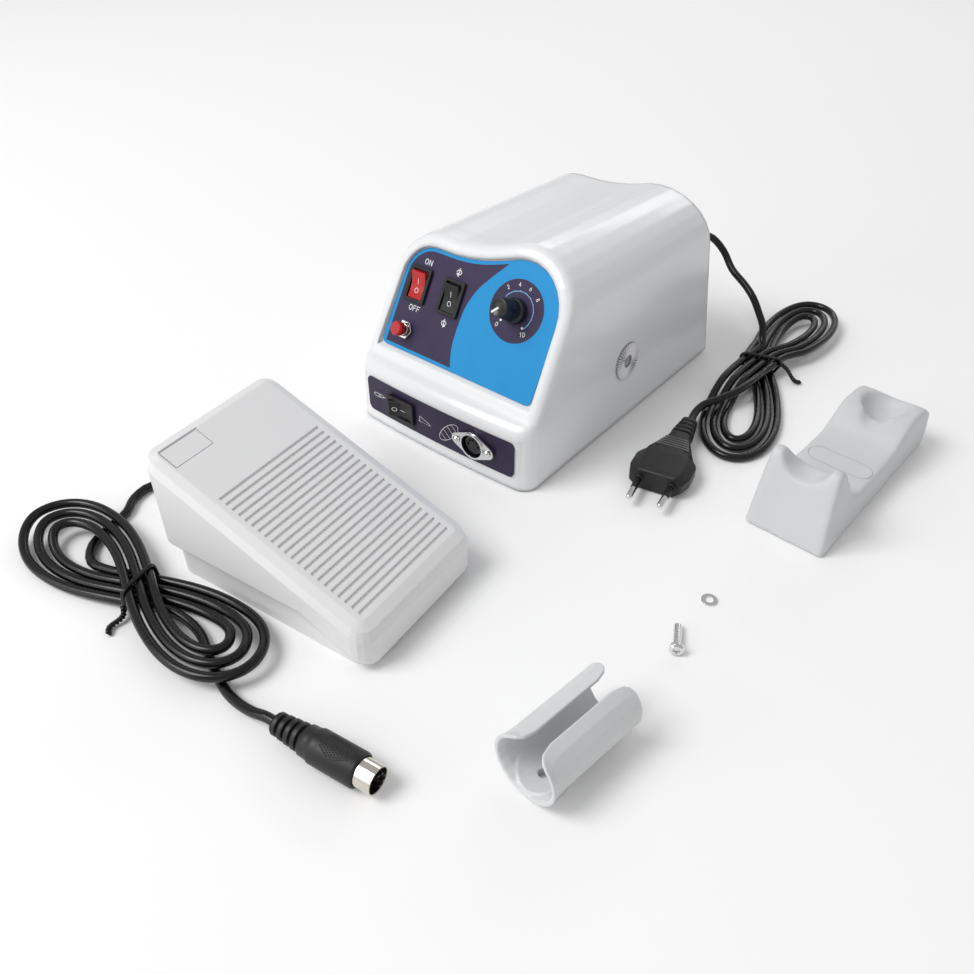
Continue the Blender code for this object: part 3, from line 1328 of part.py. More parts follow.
def pedal_cover(pedal):
    hinge = empty("pedal_hinge", pedal, (HINGE_L, 0, HINGE_Z))
    offset = Matrix.Translation((-HINGE_L, 0, -HINGE_Z))
    rings = [[(x, y, skirt_z(x)) for x, y in pedal_outline(0)]]
    for share in (0, 0.5, 1):
        turn = share * math.pi / 2
        inset = PEDAL_ROUND * (1 - math.cos(turn))
        drop = PEDAL_ROUND * (1 - math.sin(turn))
        rings.append([(x, y, pedal_top(x) - drop) for x, y in pedal_outline(inset)])
    mesh = loft(rings)
    mesh.transform(offset)
    cover = part("pedal_cover", mesh, "shell", hinge)
    low = [(x, y, -PEDAL_WALL) for x, y in pedal_outline(PEDAL_WALL)]
    mid = [(x, y, pedal_top(x) - PEDAL_ROUND) for x, y in pedal_outline(PEDAL_WALL)]
    top = [(x, y, pedal_top(x) - PEDAL_WALL) for x, y in pedal_outline(PEDAL_ROUND)]
    mesh = loft([low, mid, top])
    mesh.transform(offset)
    cut(cover, tool("cover_room", mesh, hinge))
    reach = ROLLER_REACH - ROLLER_RADIUS - GAP
    outer = arc((0, 0), reach, math.pi - ARM_HIGH, math.pi - ARM_LOW, 6)
    inner = arc((0, 0), reach - ARM_THICK, math.pi - ARM_LOW, math.pi - ARM_HIGH, 6)
    fuse(cover, tool("cover_arm", flat([outer + inner], -ARM_HALF, ARM_HALF), hinge, (0, 0, 0),
                     FRONT_TURN))
    slope = Matrix.Rotation(PEDAL_SLOPE, 4, "Y")
    surface = empty("pedal_surface", pedal, (0, 0, PEDAL_TOP_Z), slope)
    verts = []
    faces = []
    for k in range(GROOVES):
        centre = (k - (GROOVES - 1) / 2) * GROOVE_PITCH
        start = len(verts)
        for x in (centre - GROOVE_HALF, centre + GROOVE_HALF):
            for y in (-GROOVE_LONG, GROOVE_LONG):
                for z in (-GROOVE_DEEP, CUT_OVER):
                    verts.append((x, y, z))
        for face in ((0, 1, 3, 2), (4, 6, 7, 5), (0, 4, 5, 1), (2, 3, 7, 6), (0, 2, 6, 4),
                     (1, 5, 7, 3)):
            faces.append(tuple(start + i for i in face))
    cut(cover, tool("grooves", mesh_from(verts, faces), surface))
    label = block((LABEL_TO - LABEL_FROM) / 2, (LABEL_RIGHT - LABEL_LEFT) / 2, -LABEL_DEEP,
                  CUT_OVER)
    cut(cover, tool("label_recess", label, surface,
                    ((LABEL_FROM + LABEL_TO) / 2, (LABEL_LEFT + LABEL_RIGHT) / 2, 0)))
    bore = rod(HINGE_PIN + HINGE_PLAY, -HINGE_BORE_END, HINGE_BORE_END, 24)
    cut(cover, tool("cover_bore", bore, hinge, (0, 0, 0), ALONG_Y))
    way = block(PEDAL_WALL * 2, CORD_WAY_HALF, 0, CORD_WAY_TOP)
    cut(cover, tool("cover_cord_way", way, pedal, (PEDAL_HEEL, PEDAL_GLAND_W, 0)))
    return cover


def pedal_base(pedal):
    loop = rounded_box(TRAY_HEEL, TRAY_TOE, -TRAY_HALF, TRAY_HALF, TRAY_CORNER, 4)
    base = part("pedal_base", flat([loop], 0, TRAY_HIGH), "shell", pedal)
    inner = rounded_box(TRAY_HEEL + TRAY_WALL, TRAY_TOE - TRAY_WALL, TRAY_WALL - TRAY_HALF,
                        TRAY_HALF - TRAY_WALL, TRAY_CORNER - TRAY_WALL, 4)
    cut(base, tool("tray_room", flat([inner], TRAY_FLOOR, TRAY_HIGH + CUT_OVER), pedal))
    bore = rod(HINGE_PIN + HINGE_PLAY, -PEDAL_HALF, PEDAL_HALF, 24)
    cut(base, tool("base_bore", bore, pedal, (HINGE_L, 0, HINGE_Z), ALONG_Y))
    seat = rod(SPRING_SEAT, TRAY_FLOOR / 2, TRAY_FLOOR + SPRING_SEAT_HIGH, 16)
    fuse(base, tool("spring_seat", seat, pedal, (SPRING_L, SPRING_W, 0)))
    way = rod(PEDAL_GLAND_HOLE, -TRAY_WALL * 2, TRAY_WALL * 2, 16)
    cut(base, tool("pedal_gland_way", way, pedal, (TRAY_HEEL, PEDAL_GLAND_W, PEDAL_GLAND_Z),
                   ALONG_X))
    pin = part("hinge_pin", rod(HINGE_PIN, -HINGE_END, HINGE_END, 24), "steel", pedal,
               (HINGE_L, 0, HINGE_Z), ALONG_Y)
    rounded(pin, GAP, 1, math.radians(60))
    return base


def return_spring(pedal):
    low = TRAY_FLOOR + GAP + SPRING_WIRE
    high = pedal_top(SPRING_L - SPRING_RADIUS) - PEDAL_WALL / math.cos(PEDAL_SLOPE)
    high = high - 2 * SPRING_RADIUS * math.tan(PEDAL_SLOPE) - GAP - 2 * SPRING_WIRE
    points = []
    steps = SPRING_TURNS * SPRING_STEPS
    for k in range(steps + 1):
        angle = 2 * math.pi * k / SPRING_STEPS
        share = min(1, max(0, (k - 2) / (steps - 4)))
        points.append((SPRING_RADIUS * math.cos(angle), SPRING_RADIUS * math.sin(angle),
                       low + (high - low) * share))
    part("return_spring", tube(points, SPRING_WIRE, 1), "steel", pedal, (SPRING_L, SPRING_W, 0))


def pedal_drive(pedal):
    """Potentiometer on its bracket, and the roller that the cover's arm turns."""
    along = HINGE_L - ROLLER_REACH * math.cos(ROLLER_LIFT)
    z = HINGE_Z + ROLLER_REACH * math.sin(ROLLER_LIFT)
    ring = [(ROLLER_BORE + GAP, ROLLER_HALF), (ROLLER_RADIUS, ROLLER_HALF),
            (ROLLER_RADIUS, -ROLLER_HALF), (ROLLER_BORE + GAP, -ROLLER_HALF)]
    turned("pedal_roller", ring, "rubber", pedal, (along, 0, z), ALONG_Y, steps=24, closed=True)
    back = ROLLER_HALF + GAP * 2
    turned("pedal_potentiometer", [
        (0, -ROLLER_HALF), (PEDAL_POT_SHAFT, -ROLLER_HALF),
        (PEDAL_POT_SHAFT, back), (PEDAL_POT, back), (PEDAL_POT, back + PEDAL_POT_LONG),
        (0, back + PEDAL_POT_LONG)], "steel", pedal, (along, 0, z), ALONG_Y, steps=20)
    foot = TRAY_FLOOR + GAP - z
    bracket = block(PEDAL_POT_BRACKET, PEDAL_POT_LONG / 2 - GAP, foot, 0)
    fuse(bpy.data.objects["pedal_potentiometer"],
         tool("pot_bracket", bracket, pedal, (along, back + PEDAL_POT_LONG / 2, z)))


def pedal_gland(pedal):
    flange = GAP + PEDAL_GLAND_THICK
    turned("pedal_gland", [
        (0, flange + PEDAL_GLAND_LONG), (PEDAL_GLAND_NOSE, flange + PEDAL_GLAND_LONG),
        (PEDAL_GLAND_NECK, flange), (PEDAL_GLAND_FLANGE, flange), (PEDAL_GLAND_FLANGE, GAP),
        (PEDAL_GLAND_NECK, GAP), (PEDAL_GLAND_NECK, -TRAY_WALL * 3), (0, -TRAY_WALL * 3)],
        "black", pedal, (TRAY_HEEL, PEDAL_GLAND_W, PEDAL_GLAND_Z),
        Matrix.Rotation(-math.pi / 2, 4, "Y"), steps=20)


def without_start(line, reach):
    """The line past its first stretch."""
    run = 0
    for k, (a, b) in enumerate(zip(line, line[1:])):
        run += (b - a).length
        if run > reach:
            return line[k + 1:]
    return line


def levels(table, share):
    for (a, low), (b, high) in zip(table, table[1:]):
        if share <= b:
            t = (share - a) / (b - a)
            return low + (high - low) * t * t * (3 - 2 * t)
    return table[-1][1]


def hank_line(radius, angle, ahead, behind, turns, step, spread, hold, flip, bend, top_first):
    """Centre line of a cord laid in figures of eight that cross at the tie.

    One family of strands lies low and the other lies over it. The strands behind the tie
    are turned by the bend.
    """
    along = math.cos(angle)
    aside = math.sin(angle)
    floor = radius + FLOOR_GAP
    waist = floor + 2 * TIE_WIRE + GAP
    upper = floor + 2 * radius + LAYER_GAP
    upper_waist = waist + 2 * radius + LAYER_GAP
    rise_heights = (waist, waist, upper, upper, upper_waist)
    fall_heights = (upper_waist, upper, upper, floor, floor, waist)
    drop_heights = (upper_waist, upper_waist, floor, floor, waist)
    rise = list(zip(RISE_SHARES, rise_heights))
    fall = list(zip(FALL_SHARES, fall_heights))
    drop = list(zip(DROP_SHARES, drop_heights))
    first_way = Vector((along, aside))
    second_way = Vector((along, -aside))
    first_z = upper_waist if top_first else waist
    second_z = waist if top_first else upper_waist
    ahead_table = drop if top_first else rise
    behind_table = rise if top_first else fall

    def first_spot(k, side):
        return Vector((aside, -along)) * step * (k - turns / 2) + first_way * hold * side

    def second_spot(k, side):
        return Vector((aside, along)) * step * (k - (turns - 1) / 2) + second_way * hold * side

    def lobe(a, b, way_a, way_b, reach, table):
        pull = reach / (0.75 * along)
        line = []
        for i in range(1, HANK_POINTS + 1):
            t = i / HANK_POINTS
            x, y = bezier(a, a + way_a * pull, b + way_b * pull, b, t)
            line.append(Vector((x, y, levels(table, t))))
        return line

    line = [Vector((*first_spot(0, -1), first_z)), Vector((*first_spot(0, 1), first_z))]
    for k in range(turns):
        line += lobe(first_spot(k, 1), second_spot(k, 1), first_way, second_way,
                     ahead - spread * k, ahead_table)
        back = second_spot(k, -1)
        line.append(Vector((*back, second_z)))
        line += lobe(back, first_spot(k + 1, -1), -second_way, -first_way,
                     behind - spread * (turns - 1 - k), behind_table)
        line.append(Vector((*first_spot(k + 1, 1), first_z)))
    for point in line:
        point.y *= -1 if flip else 1
        share = min(1, max(0, -point.x / (3 * hold)))
        turn = bend * share * share * (3 - 2 * share)
        point.xy = Matrix.Rotation(turn, 2) @ point.xy
    return line


def tie_line(half, low, high):
    loop = rounded_box(-half, half, low, high, (high - low) / 2.2, 4)
    return [Vector((0, y, z)) for y, z in loop]


def hank(name, root, place, turn, radius, shape, start_points, end_points, start, start_way, end,
         end_way, names):
    """A hank with its tie, and the cords that come to it and leave it."""
    frame = empty(name + "_hank_frame", root, (*place, 0), Matrix.Rotation(turn, 4, "Z"))
    line = hank_line(radius, *shape)
    part(name + "_hank", tube(line, radius, 1), "black", frame)
    spot = Matrix.Translation((*place, 0)) @ Matrix.Rotation(turn, 4, "Z")
    world = [spot @ v for v in line]
    into = (world[1] - world[0]).normalized()
    away = (world[-1] - world[-2]).normalized()
    first = smooth_line([start] + list(start_points) + [world[0] - into * GAP], start_way, into,
                        radius * 5, radius * 2)
    last = smooth_line([world[-1] + away * GAP] + list(end_points) + [end], away, end_way,
                       radius * 5, radius * 2)
    part(names[0], tube(first, radius, 2), "black", root)
    part(names[1], tube(last, radius, 2), "black", root)
    step = shape[4]
    turns = shape[3]
    half = (turns + 1) * step / 2 / math.cos(shape[0]) + 2 * radius
    high = 4 * radius + FLOOR_GAP + 3 * TIE_WIRE + LAYER_GAP * 2 + 2 * GAP
    ring = tie_line(half, TIE_WIRE + FLOOR_GAP / 3, high + TIE_WIRE)
    part(name + "_tie", tube(ring, TIE_WIRE, 1, True), "black", frame)
    long = sum((b - a).length for a, b in zip(line, line[1:]))
    lead = sum((b - a).length for a, b in zip(first, first[1:]))
    tail = sum((b - a).length for a, b in zip(last, last[1:]))
    inner = without_start(world, 4 * radius)
    outer = without_start(list(reversed(world)), 4 * radius)
    gaps = [least_gap(lines, 2 * radius) for lines in ([world], [first, inner], [last, outer])]
    print(name, "least gaps of the hank, with its first and with its last cord:",
          ["%.5f" % gap for gap in gaps], "lengths:", ["%.3f" % m for m in (lead, long, tail)])
    return spot


def round_plug(root):
    frame = empty("plug_frame", root, (PLUG_X, PLUG_Y, PLUG_Z),
                  Matrix.Rotation(PLUG_TURN, 4, "Z") @ Matrix.Rotation(math.pi / 2, 4, "Y"))
    face = PLUG_RELIEF_LONG + PLUG_BODY_LONG
    rib = PLUG_RELIEF_LONG / (2 * PLUG_RIBS)
    profile = [(0, 0), (PLUG_RELIEF - PLUG_RIB_DEEP, 0)]
    for k in range(PLUG_RIBS):
        grow = (PLUG_RELIEF_ROOT - PLUG_RELIEF) * k / PLUG_RIBS
        z = (2 * k + 0.4) * rib
        profile += [(PLUG_RELIEF + grow, z), (PLUG_RELIEF + grow, z + rib),
                    (PLUG_RELIEF + grow - PLUG_RIB_DEEP, z + rib + PLUG_RIB_DEEP / 2)]
    profile += [(PLUG_RELIEF_ROOT, PLUG_RELIEF_LONG), (PLUG_BODY, PLUG_RELIEF_LONG + PLUG_ROUND),
                (PLUG_BODY, face - PLUG_ROUND), (PLUG_BODY - PLUG_ROUND, face),
                (PLUG_SHELL + GAP, face), (PLUG_SHELL + GAP, face - PLUG_SEAT),
                (0, face - PLUG_SEAT)]
    turned("din_plug_body", list(reversed(profile)), "black", frame, steps=18)
    low = face - PLUG_SEAT + GAP
    high = face + PLUG_SHELL_LONG
    inner = PLUG_SHELL - PLUG_SHELL_WALL
    turned("din_plug_shell", [(inner, high), (PLUG_SHELL, high), (PLUG_SHELL, low), (inner, low)],
           "chrome", frame, steps=28, closed=True)
    core = part("din_plug_insert", rod(inner - GAP, low, low + PLUG_CORE_LONG, 24), "black", frame)
    for k, (x, y) in enumerate(pin_places()):
        pin = rod(PLUG_PIN, low + PLUG_CORE_LONG / 2, low + PLUG_CORE_LONG / 2 + PLUG_PIN_LONG, 8)
        fuse(core, tool("plug_pin%d" % k, pin, frame, (x, y, 0)))


def flat_plug(root):
    frame = empty("flat_frame", root, (FLAT_X, FLAT_Y, FLAT_Z),
                  Matrix.Rotation(FLAT_TURN, 4, "Z"))
    stations = ((0, FLAT_RELIEF, FLAT_RELIEF), (FLAT_RELIEF_LONG, FLAT_RELIEF_ROOT,
                                                FLAT_RELIEF_ROOT),
                (FLAT_RELIEF_LONG + FLAT_ROUND, FLAT_NECK_HALF, FLAT_RELIEF_ROOT + FLAT_ROUND / 4),
                (FLAT_SHOULDER, FLAT_HALF * 0.86, FLAT_THICK), (FLAT_SHOULDER + FLAT_ROUND * 2,
                                                                FLAT_HALF, FLAT_THICK),
                (FLAT_BODY_LONG - FLAT_ROUND, FLAT_HALF, FLAT_THICK),
                (FLAT_BODY_LONG, FLAT_HALF - FLAT_ROUND, FLAT_THICK - FLAT_ROUND / 2))
    rings = []
    for along, half, thick in stations:
        corner = min(half, thick) * (0.98 if half < FLAT_NECK_HALF else 0.55)
        rings.append([(along, y, z) for y, z in
                      rounded_box(-half, half, -thick, thick, corner, 3)])
    plug = part("euro_plug", loft(rings), "black", frame)
    for side, name in ((1, "euro_pin_left"), (-1, "euro_pin_right")):
        turn = Matrix.Rotation(-side * FLAT_PIN_TOE, 4, "Z") @ Matrix.Rotation(math.pi / 2, 4, "Y")
        place = (FLAT_BODY_LONG, side * FLAT_PIN_X, 0)
        hole = rod(FLAT_PIN + GAP, -FLAT_PIN_SEAT, FLAT_ROUND * 2, 16)
        cut(plug, tool(name + "_seat", hole, frame, place, turn))
        foot = -FLAT_PIN_SEAT + GAP
        turned(name, [
            (0, FLAT_PIN_LONG), (FLAT_PIN_TIP * 0.6, FLAT_PIN_LONG),
            (FLAT_PIN_TIP, FLAT_PIN_LONG - FLAT_PIN), (FLAT_PIN_TIP, FLAT_SLEEVE_LONG),
            (FLAT_PIN, FLAT_SLEEVE_LONG), (FLAT_PIN, foot), (0, foot)], "chrome", frame, place,
            turn, steps=16)


def stand_mesh(profile, half):
    """Side profile with the sides drawn in towards the top and the rear."""
    mesh = flat([list(profile)], -half, half)
    mesh.transform(Matrix(((0, 0, 1, 0), (1, 0, 0, 0), (0, 1, 0, 0), (0, 0, 0, 1))))
    for vert in mesh.vertices:
        up = min(1, max(0, vert.co.z / STAND_HIGH))
        back = min(1, max(0, vert.co.y / STAND_LONG))
        vert.co.x *= 1 - STAND_SIDE_DRAFT_SHARE * up * (1 - back) - STAND_REAR_DRAFT_SHARE * back
    return mesh


def handpiece_stand(root):
    frame = empty("stand_frame", root, (STAND_X, STAND_Y, 0),
                  Matrix.Rotation(STAND_TURN, 4, "Z"))
    place = (STAND_MID, 0, 0)
    stand = part("handpiece_stand", stand_mesh(STAND_PROFILE, STAND_HALF), "grey", frame, place)
    rounded(stand, STAND_ROUND, 2, math.radians(50))
    notch = rod(NOTCH_RADIUS, -NOTCH_RADIUS, NOTCH_TO, 32)
    cut(stand, tool("notch", notch, frame, (STAND_MID, 0, NOTCH_Z), ALONG_Y))
    tidy = bmesh.new()
    bmesh.ops.create_uvsphere(tidy, u_segments=24, v_segments=12, radius=1)
    for vert in tidy.verts:
        vert.co = (vert.co.x * CUP_RADIUS, vert.co.y * CUP_LONG, vert.co.z * CUP_DEEP)
    bowl = bpy.data.meshes.new("bowl")
    tidy.to_mesh(bowl)
    tidy.free()
    cut(stand, tool("cup", bowl, frame, (STAND_MID, CUP_Y, CUP_Z)))
    way = rod(CUP_WAY, 0, STAND_LONG / 2, 24)
    cut(stand, tool("cup_way", way, frame, (STAND_MID, CUP_Y - CUP_LONG - CUP_WAY, CUP_WAY_Z),
                    ALONG_Y))
    return stand


def clip_ring(along, radius, wall, widen):
    """C-shaped section across the clip, from one edge of the slot round to the other."""
    start = CLIP_SLOT_TO + widen
    end = 2 * math.pi + CLIP_SLOT_FROM - widen
    outer = arc((0, CLIP_Z), radius, start, end, CLIP_STEPS)
    inner = arc((0, CLIP_Z), radius - wall, end, start, CLIP_STEPS)
    return [(x, along, z) for x, z in outer + inner]


def side_clip(root):
    frame = empty("clip_frame", root, (CLIP_X, CLIP_Y, 0), Matrix.Rotation(CLIP_TURN, 4, "Z"))
    rings = []
    for share in (0, 0.12, 0.4, 1):
        along = CLIP_CORNER * share
        widen = CLIP_SLOT_ROUND * (1 - math.sqrt(1 - (1 - share) ** 2))
        flare = CLIP_FLARE * max(0, 1 - along / CLIP_FLARE_LONG) ** 2
        rings.append(clip_ring(along, CLIP_RADIUS + flare, CLIP_WALL, widen))
    for share in (1, 0.4, 0.12, 0):
        along = CLIP_LONG - CLIP_CORNER * share
        widen = CLIP_SLOT_ROUND * (1 - math.sqrt(1 - (1 - share) ** 2))
        rings.append(clip_ring(along, CLIP_RADIUS, CLIP_WALL, widen))
    clip = part("side_clip", loft(rings), "clip_grey", frame)
    place = (0, CLIP_HOLE_Y, 0)
    boss = tool("clip_boss", rod(CLIP_BOSS, 0, CLIP_Z - CLIP_RADIUS + CLIP_BOSS_ROOT, 28), frame,
                place)
    bore = rod(CLIP_RADIUS - CLIP_WALL - CLIP_PAD, -CLIP_BOSS, CLIP_LONG, 32)
    cut(boss, tool("clip_bore", bore, frame, (0, 0, CLIP_Z), ALONG_Y))
    fuse(clip, boss)
    hole = rod(CLIP_HOLE, -CUT_OVER, CLIP_Z, 16)
    cut(clip, tool("clip_hole", hole, frame, place))
    return clip


def small_parts(root):
    ring = [(WASHER_IN, WASHER_THICK), (WASHER_OUT, WASHER_THICK), (WASHER_OUT, 0), (WASHER_IN, 0)]
    turned("clip_washer", ring, "steel", root, (WASHER_X, WASHER_Y, 0), steps=24, closed=True)
    tilt = math.asin((SCREW_HEAD - SCREW_SHANK) / SCREW_LONG)
    lie = Matrix.Rotation(SCREW_TURN, 4, "Z") @ Matrix.Rotation(math.pi / 2 + tilt, 4, "Y")
    frame = empty("screw_frame", root, (SCREW_X, SCREW_Y, SCREW_HEAD), lie)
    high = SCREW_HEAD_HIGH
    screw = turned("clip_screw", [
        (0, SCREW_LONG), (SCREW_SHANK * 0.7, SCREW_LONG), (SCREW_SHANK, SCREW_LONG - SCREW_ROUND),
        (SCREW_SHANK, 0), (SCREW_HEAD, 0), (SCREW_HEAD, -high + SCREW_ROUND),
        (SCREW_HEAD - SCREW_ROUND, -high), (0, -high)], "steel", frame, steps=20)
    for turn, name in ((0, "drive_a"), (math.pi / 2, "drive_b")):
        slot = block(SCREW_DRIVE_REACH, SCREW_DRIVE_HALF, -high - CUT_OVER,
                     -high + SCREW_DRIVE_DEEP)
        cut(screw, tool(name, slot, frame, (0, 0, 0), Matrix.Rotation(turn, 4, "Z")))


def build():
    root = empty("set_root", None, (-SET_SHIFT_X, -SET_SHIFT_Y, 0))
    box = empty("box_frame", root, (BOX_HALF, 0, 0))
    panel = empty("panel_frame", box, (0, PANEL_Y, PANEL_Z), PANEL_TURN)
    housing_shell(box, panel)
    panel_overlay(panel)
    chin_overlay(box)
    rocker_switch("power", panel, (*POWER_PLACE, 0), red=True, side=1)
    rocker_switch("direction", panel, (*DIRECTION_PLACE, 0), side=1)
    rocker_switch("source", box, (SOURCE_X, -GAP - SKIN, SOURCE_Z), CHIN_TURN, side=-1)
    reset_parts(panel)
    speed_parts(panel)
    din_socket(box)
    base_plate(box)
    rear_panel(box)
    transformer(box)
    board_parts(box)
    pedal = empty("pedal_frame", root, (PEDAL_X, PEDAL_Y, 0), Matrix.Rotation(PEDAL_TURN, 4, "Z"))
    pedal_cover(pedal)
    pedal_base(pedal)
    return_spring(pedal)
    pedal_drive(pedal)
    pedal_gland(pedal)
    bpy.context.view_layer.update()
    nose = PEDAL_GLAND_THICK + PEDAL_GLAND_LONG + 2 * GAP
    place = Matrix.Translation((PEDAL_X, PEDAL_Y, 0)) @ Matrix.Rotation(PEDAL_TURN, 4, "Z")
    start = place @ Vector((TRAY_HEEL - nose, PEDAL_GLAND_W, PEDAL_GLAND_Z))
    way = place.to_3x3() @ Vector((-1, 0, 0))
    plug_way = Vector((math.cos(PLUG_TURN), math.sin(PLUG_TURN), 0))
    end = Vector((PLUG_X, PLUG_Y, PLUG_Z)) - plug_way * GAP
    shape = (PEDAL_HANK_ANGLE, PEDAL_HANK_AHEAD, PEDAL_HANK_BEHIND, PEDAL_HANK_TURNS,
             PEDAL_HANK_STEP, PEDAL_HANK_SPREAD, PEDAL_HANK_HOLD, False, 0, False)
    hank("pedal", root, (PEDAL_TIE_X, PEDAL_TIE_Y), PEDAL_HANK_TURN, PEDAL_CORD, shape,
         PEDAL_CORD_POINTS, PEDAL_LEAD_POINTS, start, way, end, plug_way,
         ("pedal_cord", "pedal_lead"))
    out = Vector((0, math.cos(REAR_LEAN), math.sin(REAR_LEAN)))
    nose = GAP * 2 + GLAND_FLANGE_THICK + GLAND_NOSE_LONG
    spot = rear_spot(GLAND_X, GLAND_Z)
    start = Vector((spot[0] + BOX_HALF, spot[1], spot[2])) + out * nose
    plug_way = Vector((math.cos(FLAT_TURN), math.sin(FLAT_TURN), 0))
    end = Vector((FLAT_X, FLAT_Y, FLAT_Z)) - plug_way * GAP
    shape = (MAINS_HANK_ANGLE, MAINS_HANK_AHEAD, MAINS_HANK_BEHIND, MAINS_HANK_TURNS,
             MAINS_HANK_STEP, MAINS_HANK_SPREAD, MAINS_HANK_HOLD, True, MAINS_HANK_BEND, True)
    hank("mains", root, (MAINS_TIE_X, MAINS_TIE_Y), MAINS_HANK_TURN, MAINS_CORD, shape,
         MAINS_CORD_POINTS, MAINS_LEAD_POINTS, start, out, end, plug_way,
         ("mains_cord", "mains_lead"))
    round_plug(root)
    flat_plug(root)
    handpiece_stand(root)
    side_clip(root)
    small_parts(root)


build()
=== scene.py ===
"""Looks of the micromotor polisher set: cords, materials, printed marks and fine detail."""

from math import atan2, copysign, cos, hypot, pi, radians, sin, sqrt, tan

import bpy
from mathutils import Matrix, Vector
from mathutils.bvhtree import BVHTree
from mathutils.geometry import convex_hull_2d


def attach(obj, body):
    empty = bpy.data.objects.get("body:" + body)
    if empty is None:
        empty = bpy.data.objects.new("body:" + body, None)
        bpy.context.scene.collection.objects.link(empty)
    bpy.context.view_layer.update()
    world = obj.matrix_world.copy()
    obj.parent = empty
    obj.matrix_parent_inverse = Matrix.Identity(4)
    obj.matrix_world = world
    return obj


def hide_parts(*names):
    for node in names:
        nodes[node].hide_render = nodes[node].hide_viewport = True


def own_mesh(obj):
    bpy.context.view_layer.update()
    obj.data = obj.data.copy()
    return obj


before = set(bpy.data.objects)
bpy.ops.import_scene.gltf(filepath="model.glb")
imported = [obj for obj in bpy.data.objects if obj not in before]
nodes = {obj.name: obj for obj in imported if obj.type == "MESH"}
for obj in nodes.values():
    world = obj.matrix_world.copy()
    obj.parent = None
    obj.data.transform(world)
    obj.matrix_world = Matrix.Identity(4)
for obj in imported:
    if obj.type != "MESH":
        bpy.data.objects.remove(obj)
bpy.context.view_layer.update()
scene = bpy.context.scene

# Lengths are in metres. A spot of the scene is the spot in the row frame, in which the set
# was laid out, less SHIFT. GAP is the room left between pieces.
SHIFT = Vector((0.14333, 0.03059, 0))
GAP = 0.0003
CAMERA_SPOT = (0.228484, -0.358722, 0.344803)
CAMERA_DIP = 0.6913
CAMERA_HEADING = 0.6835
CAMERA_LENS = 34.915


def make_camera():
    data = bpy.data.cameras.new("camera")
    data.lens = CAMERA_LENS
    data.sensor_width = 36
    data.clip_start = 0.01
    data.clip_end = 20
    camera = bpy.data.objects.new("camera", data)
    camera.location = CAMERA_SPOT
    camera.rotation_euler = (pi / 2 - CAMERA_DIP, 0, CAMERA_HEADING)
    scene.collection.objects.link(camera)
    scene.camera = camera
    scene.view_settings.view_transform = "Standard"
    scene.view_settings.look = "None"


make_camera()


# Materials
def paint(r, g, b):
    """Linear colour of a screen colour."""
    line = []
    for c in (r, g, b):
        c /= 255
        line.append(c / 12.92 if c <= 0.04045 else ((c + 0.055) / 1.055) ** 2.4)
    return (*line, 1)


def fill(node, inputs):
    for key, value in inputs.items():
        node.inputs[key].default_value = value


class Nodes:
    """Short calls for building a material's nodes."""

    def __init__(self, name):
        self.material = bpy.data.materials.new(name)
        self.material.use_nodes = True
        self.tree = self.material.node_tree
        self.shader = self.tree.nodes["Principled BSDF"]
        self.place = self.node("ShaderNodeTexCoord").outputs["Object"]

    def node(self, kind, inputs=None, **values):
        """A node with the values of its inputs and of its own settings."""
        made = self.tree.nodes.new(kind)
        for key, value in values.items():
            setattr(made, key, value)
        fill(made, inputs or {})
        return made

    def link(self, out, into):
        self.tree.links.new(out, into)

    def mapped(self, stretch):
        mapping = self.node("ShaderNodeMapping", {"Scale": stretch})
        self.link(self.place, mapping.inputs["Vector"])
        return mapping.outputs["Vector"]

    def noise(self, size, detail=3, vector=None):
        noise = self.node("ShaderNodeTexNoise",
                          {"Scale": 1 / size, "Detail": detail, "Roughness": 0.55})
        self.link(vector or self.place, noise.inputs["Vector"])
        return noise.outputs["Fac"]

    def ranged(self, value, low, high, out_low=0, out_high=1):
        ranged = self.node("ShaderNodeMapRange", {"From Min": low, "From Max": high,
                                                  "To Min": out_low, "To Max": out_high})
        self.link(value, ranged.inputs["Value"])
        return ranged.outputs["Result"]

    def mixed(self, share, first, second):
        mix = self.node("ShaderNodeMix", data_type="RGBA")
        self.link(share, mix.inputs[0])
        for slot, colour in ((6, first), (7, second)):
            if isinstance(colour, tuple):
                mix.inputs[slot].default_value = colour
            else:
                self.link(colour, mix.inputs[slot])
        return mix.outputs[2]

    def reckoned(self, kind, first, second):
        made = self.node("ShaderNodeMath", operation=kind)
        self.link(first, made.inputs[0])
        if isinstance(second, float):
            made.inputs[1].default_value = second
        else:
            self.link(second, made.inputs[1])
        return made.outputs[0]


# Parts of a texture's range, or of an edge's turn, stretched to the whole of a look
SMEARS = (0.1, 0.45)
PATCHES = (0.35, 0.65)
EDGE_TURN = (0.995, 0.9)
RUBS = (0.42, 0.62)
RUB_SIZE = 0.0012
COAT_ROUGH = 0.08
LOOKS = {}


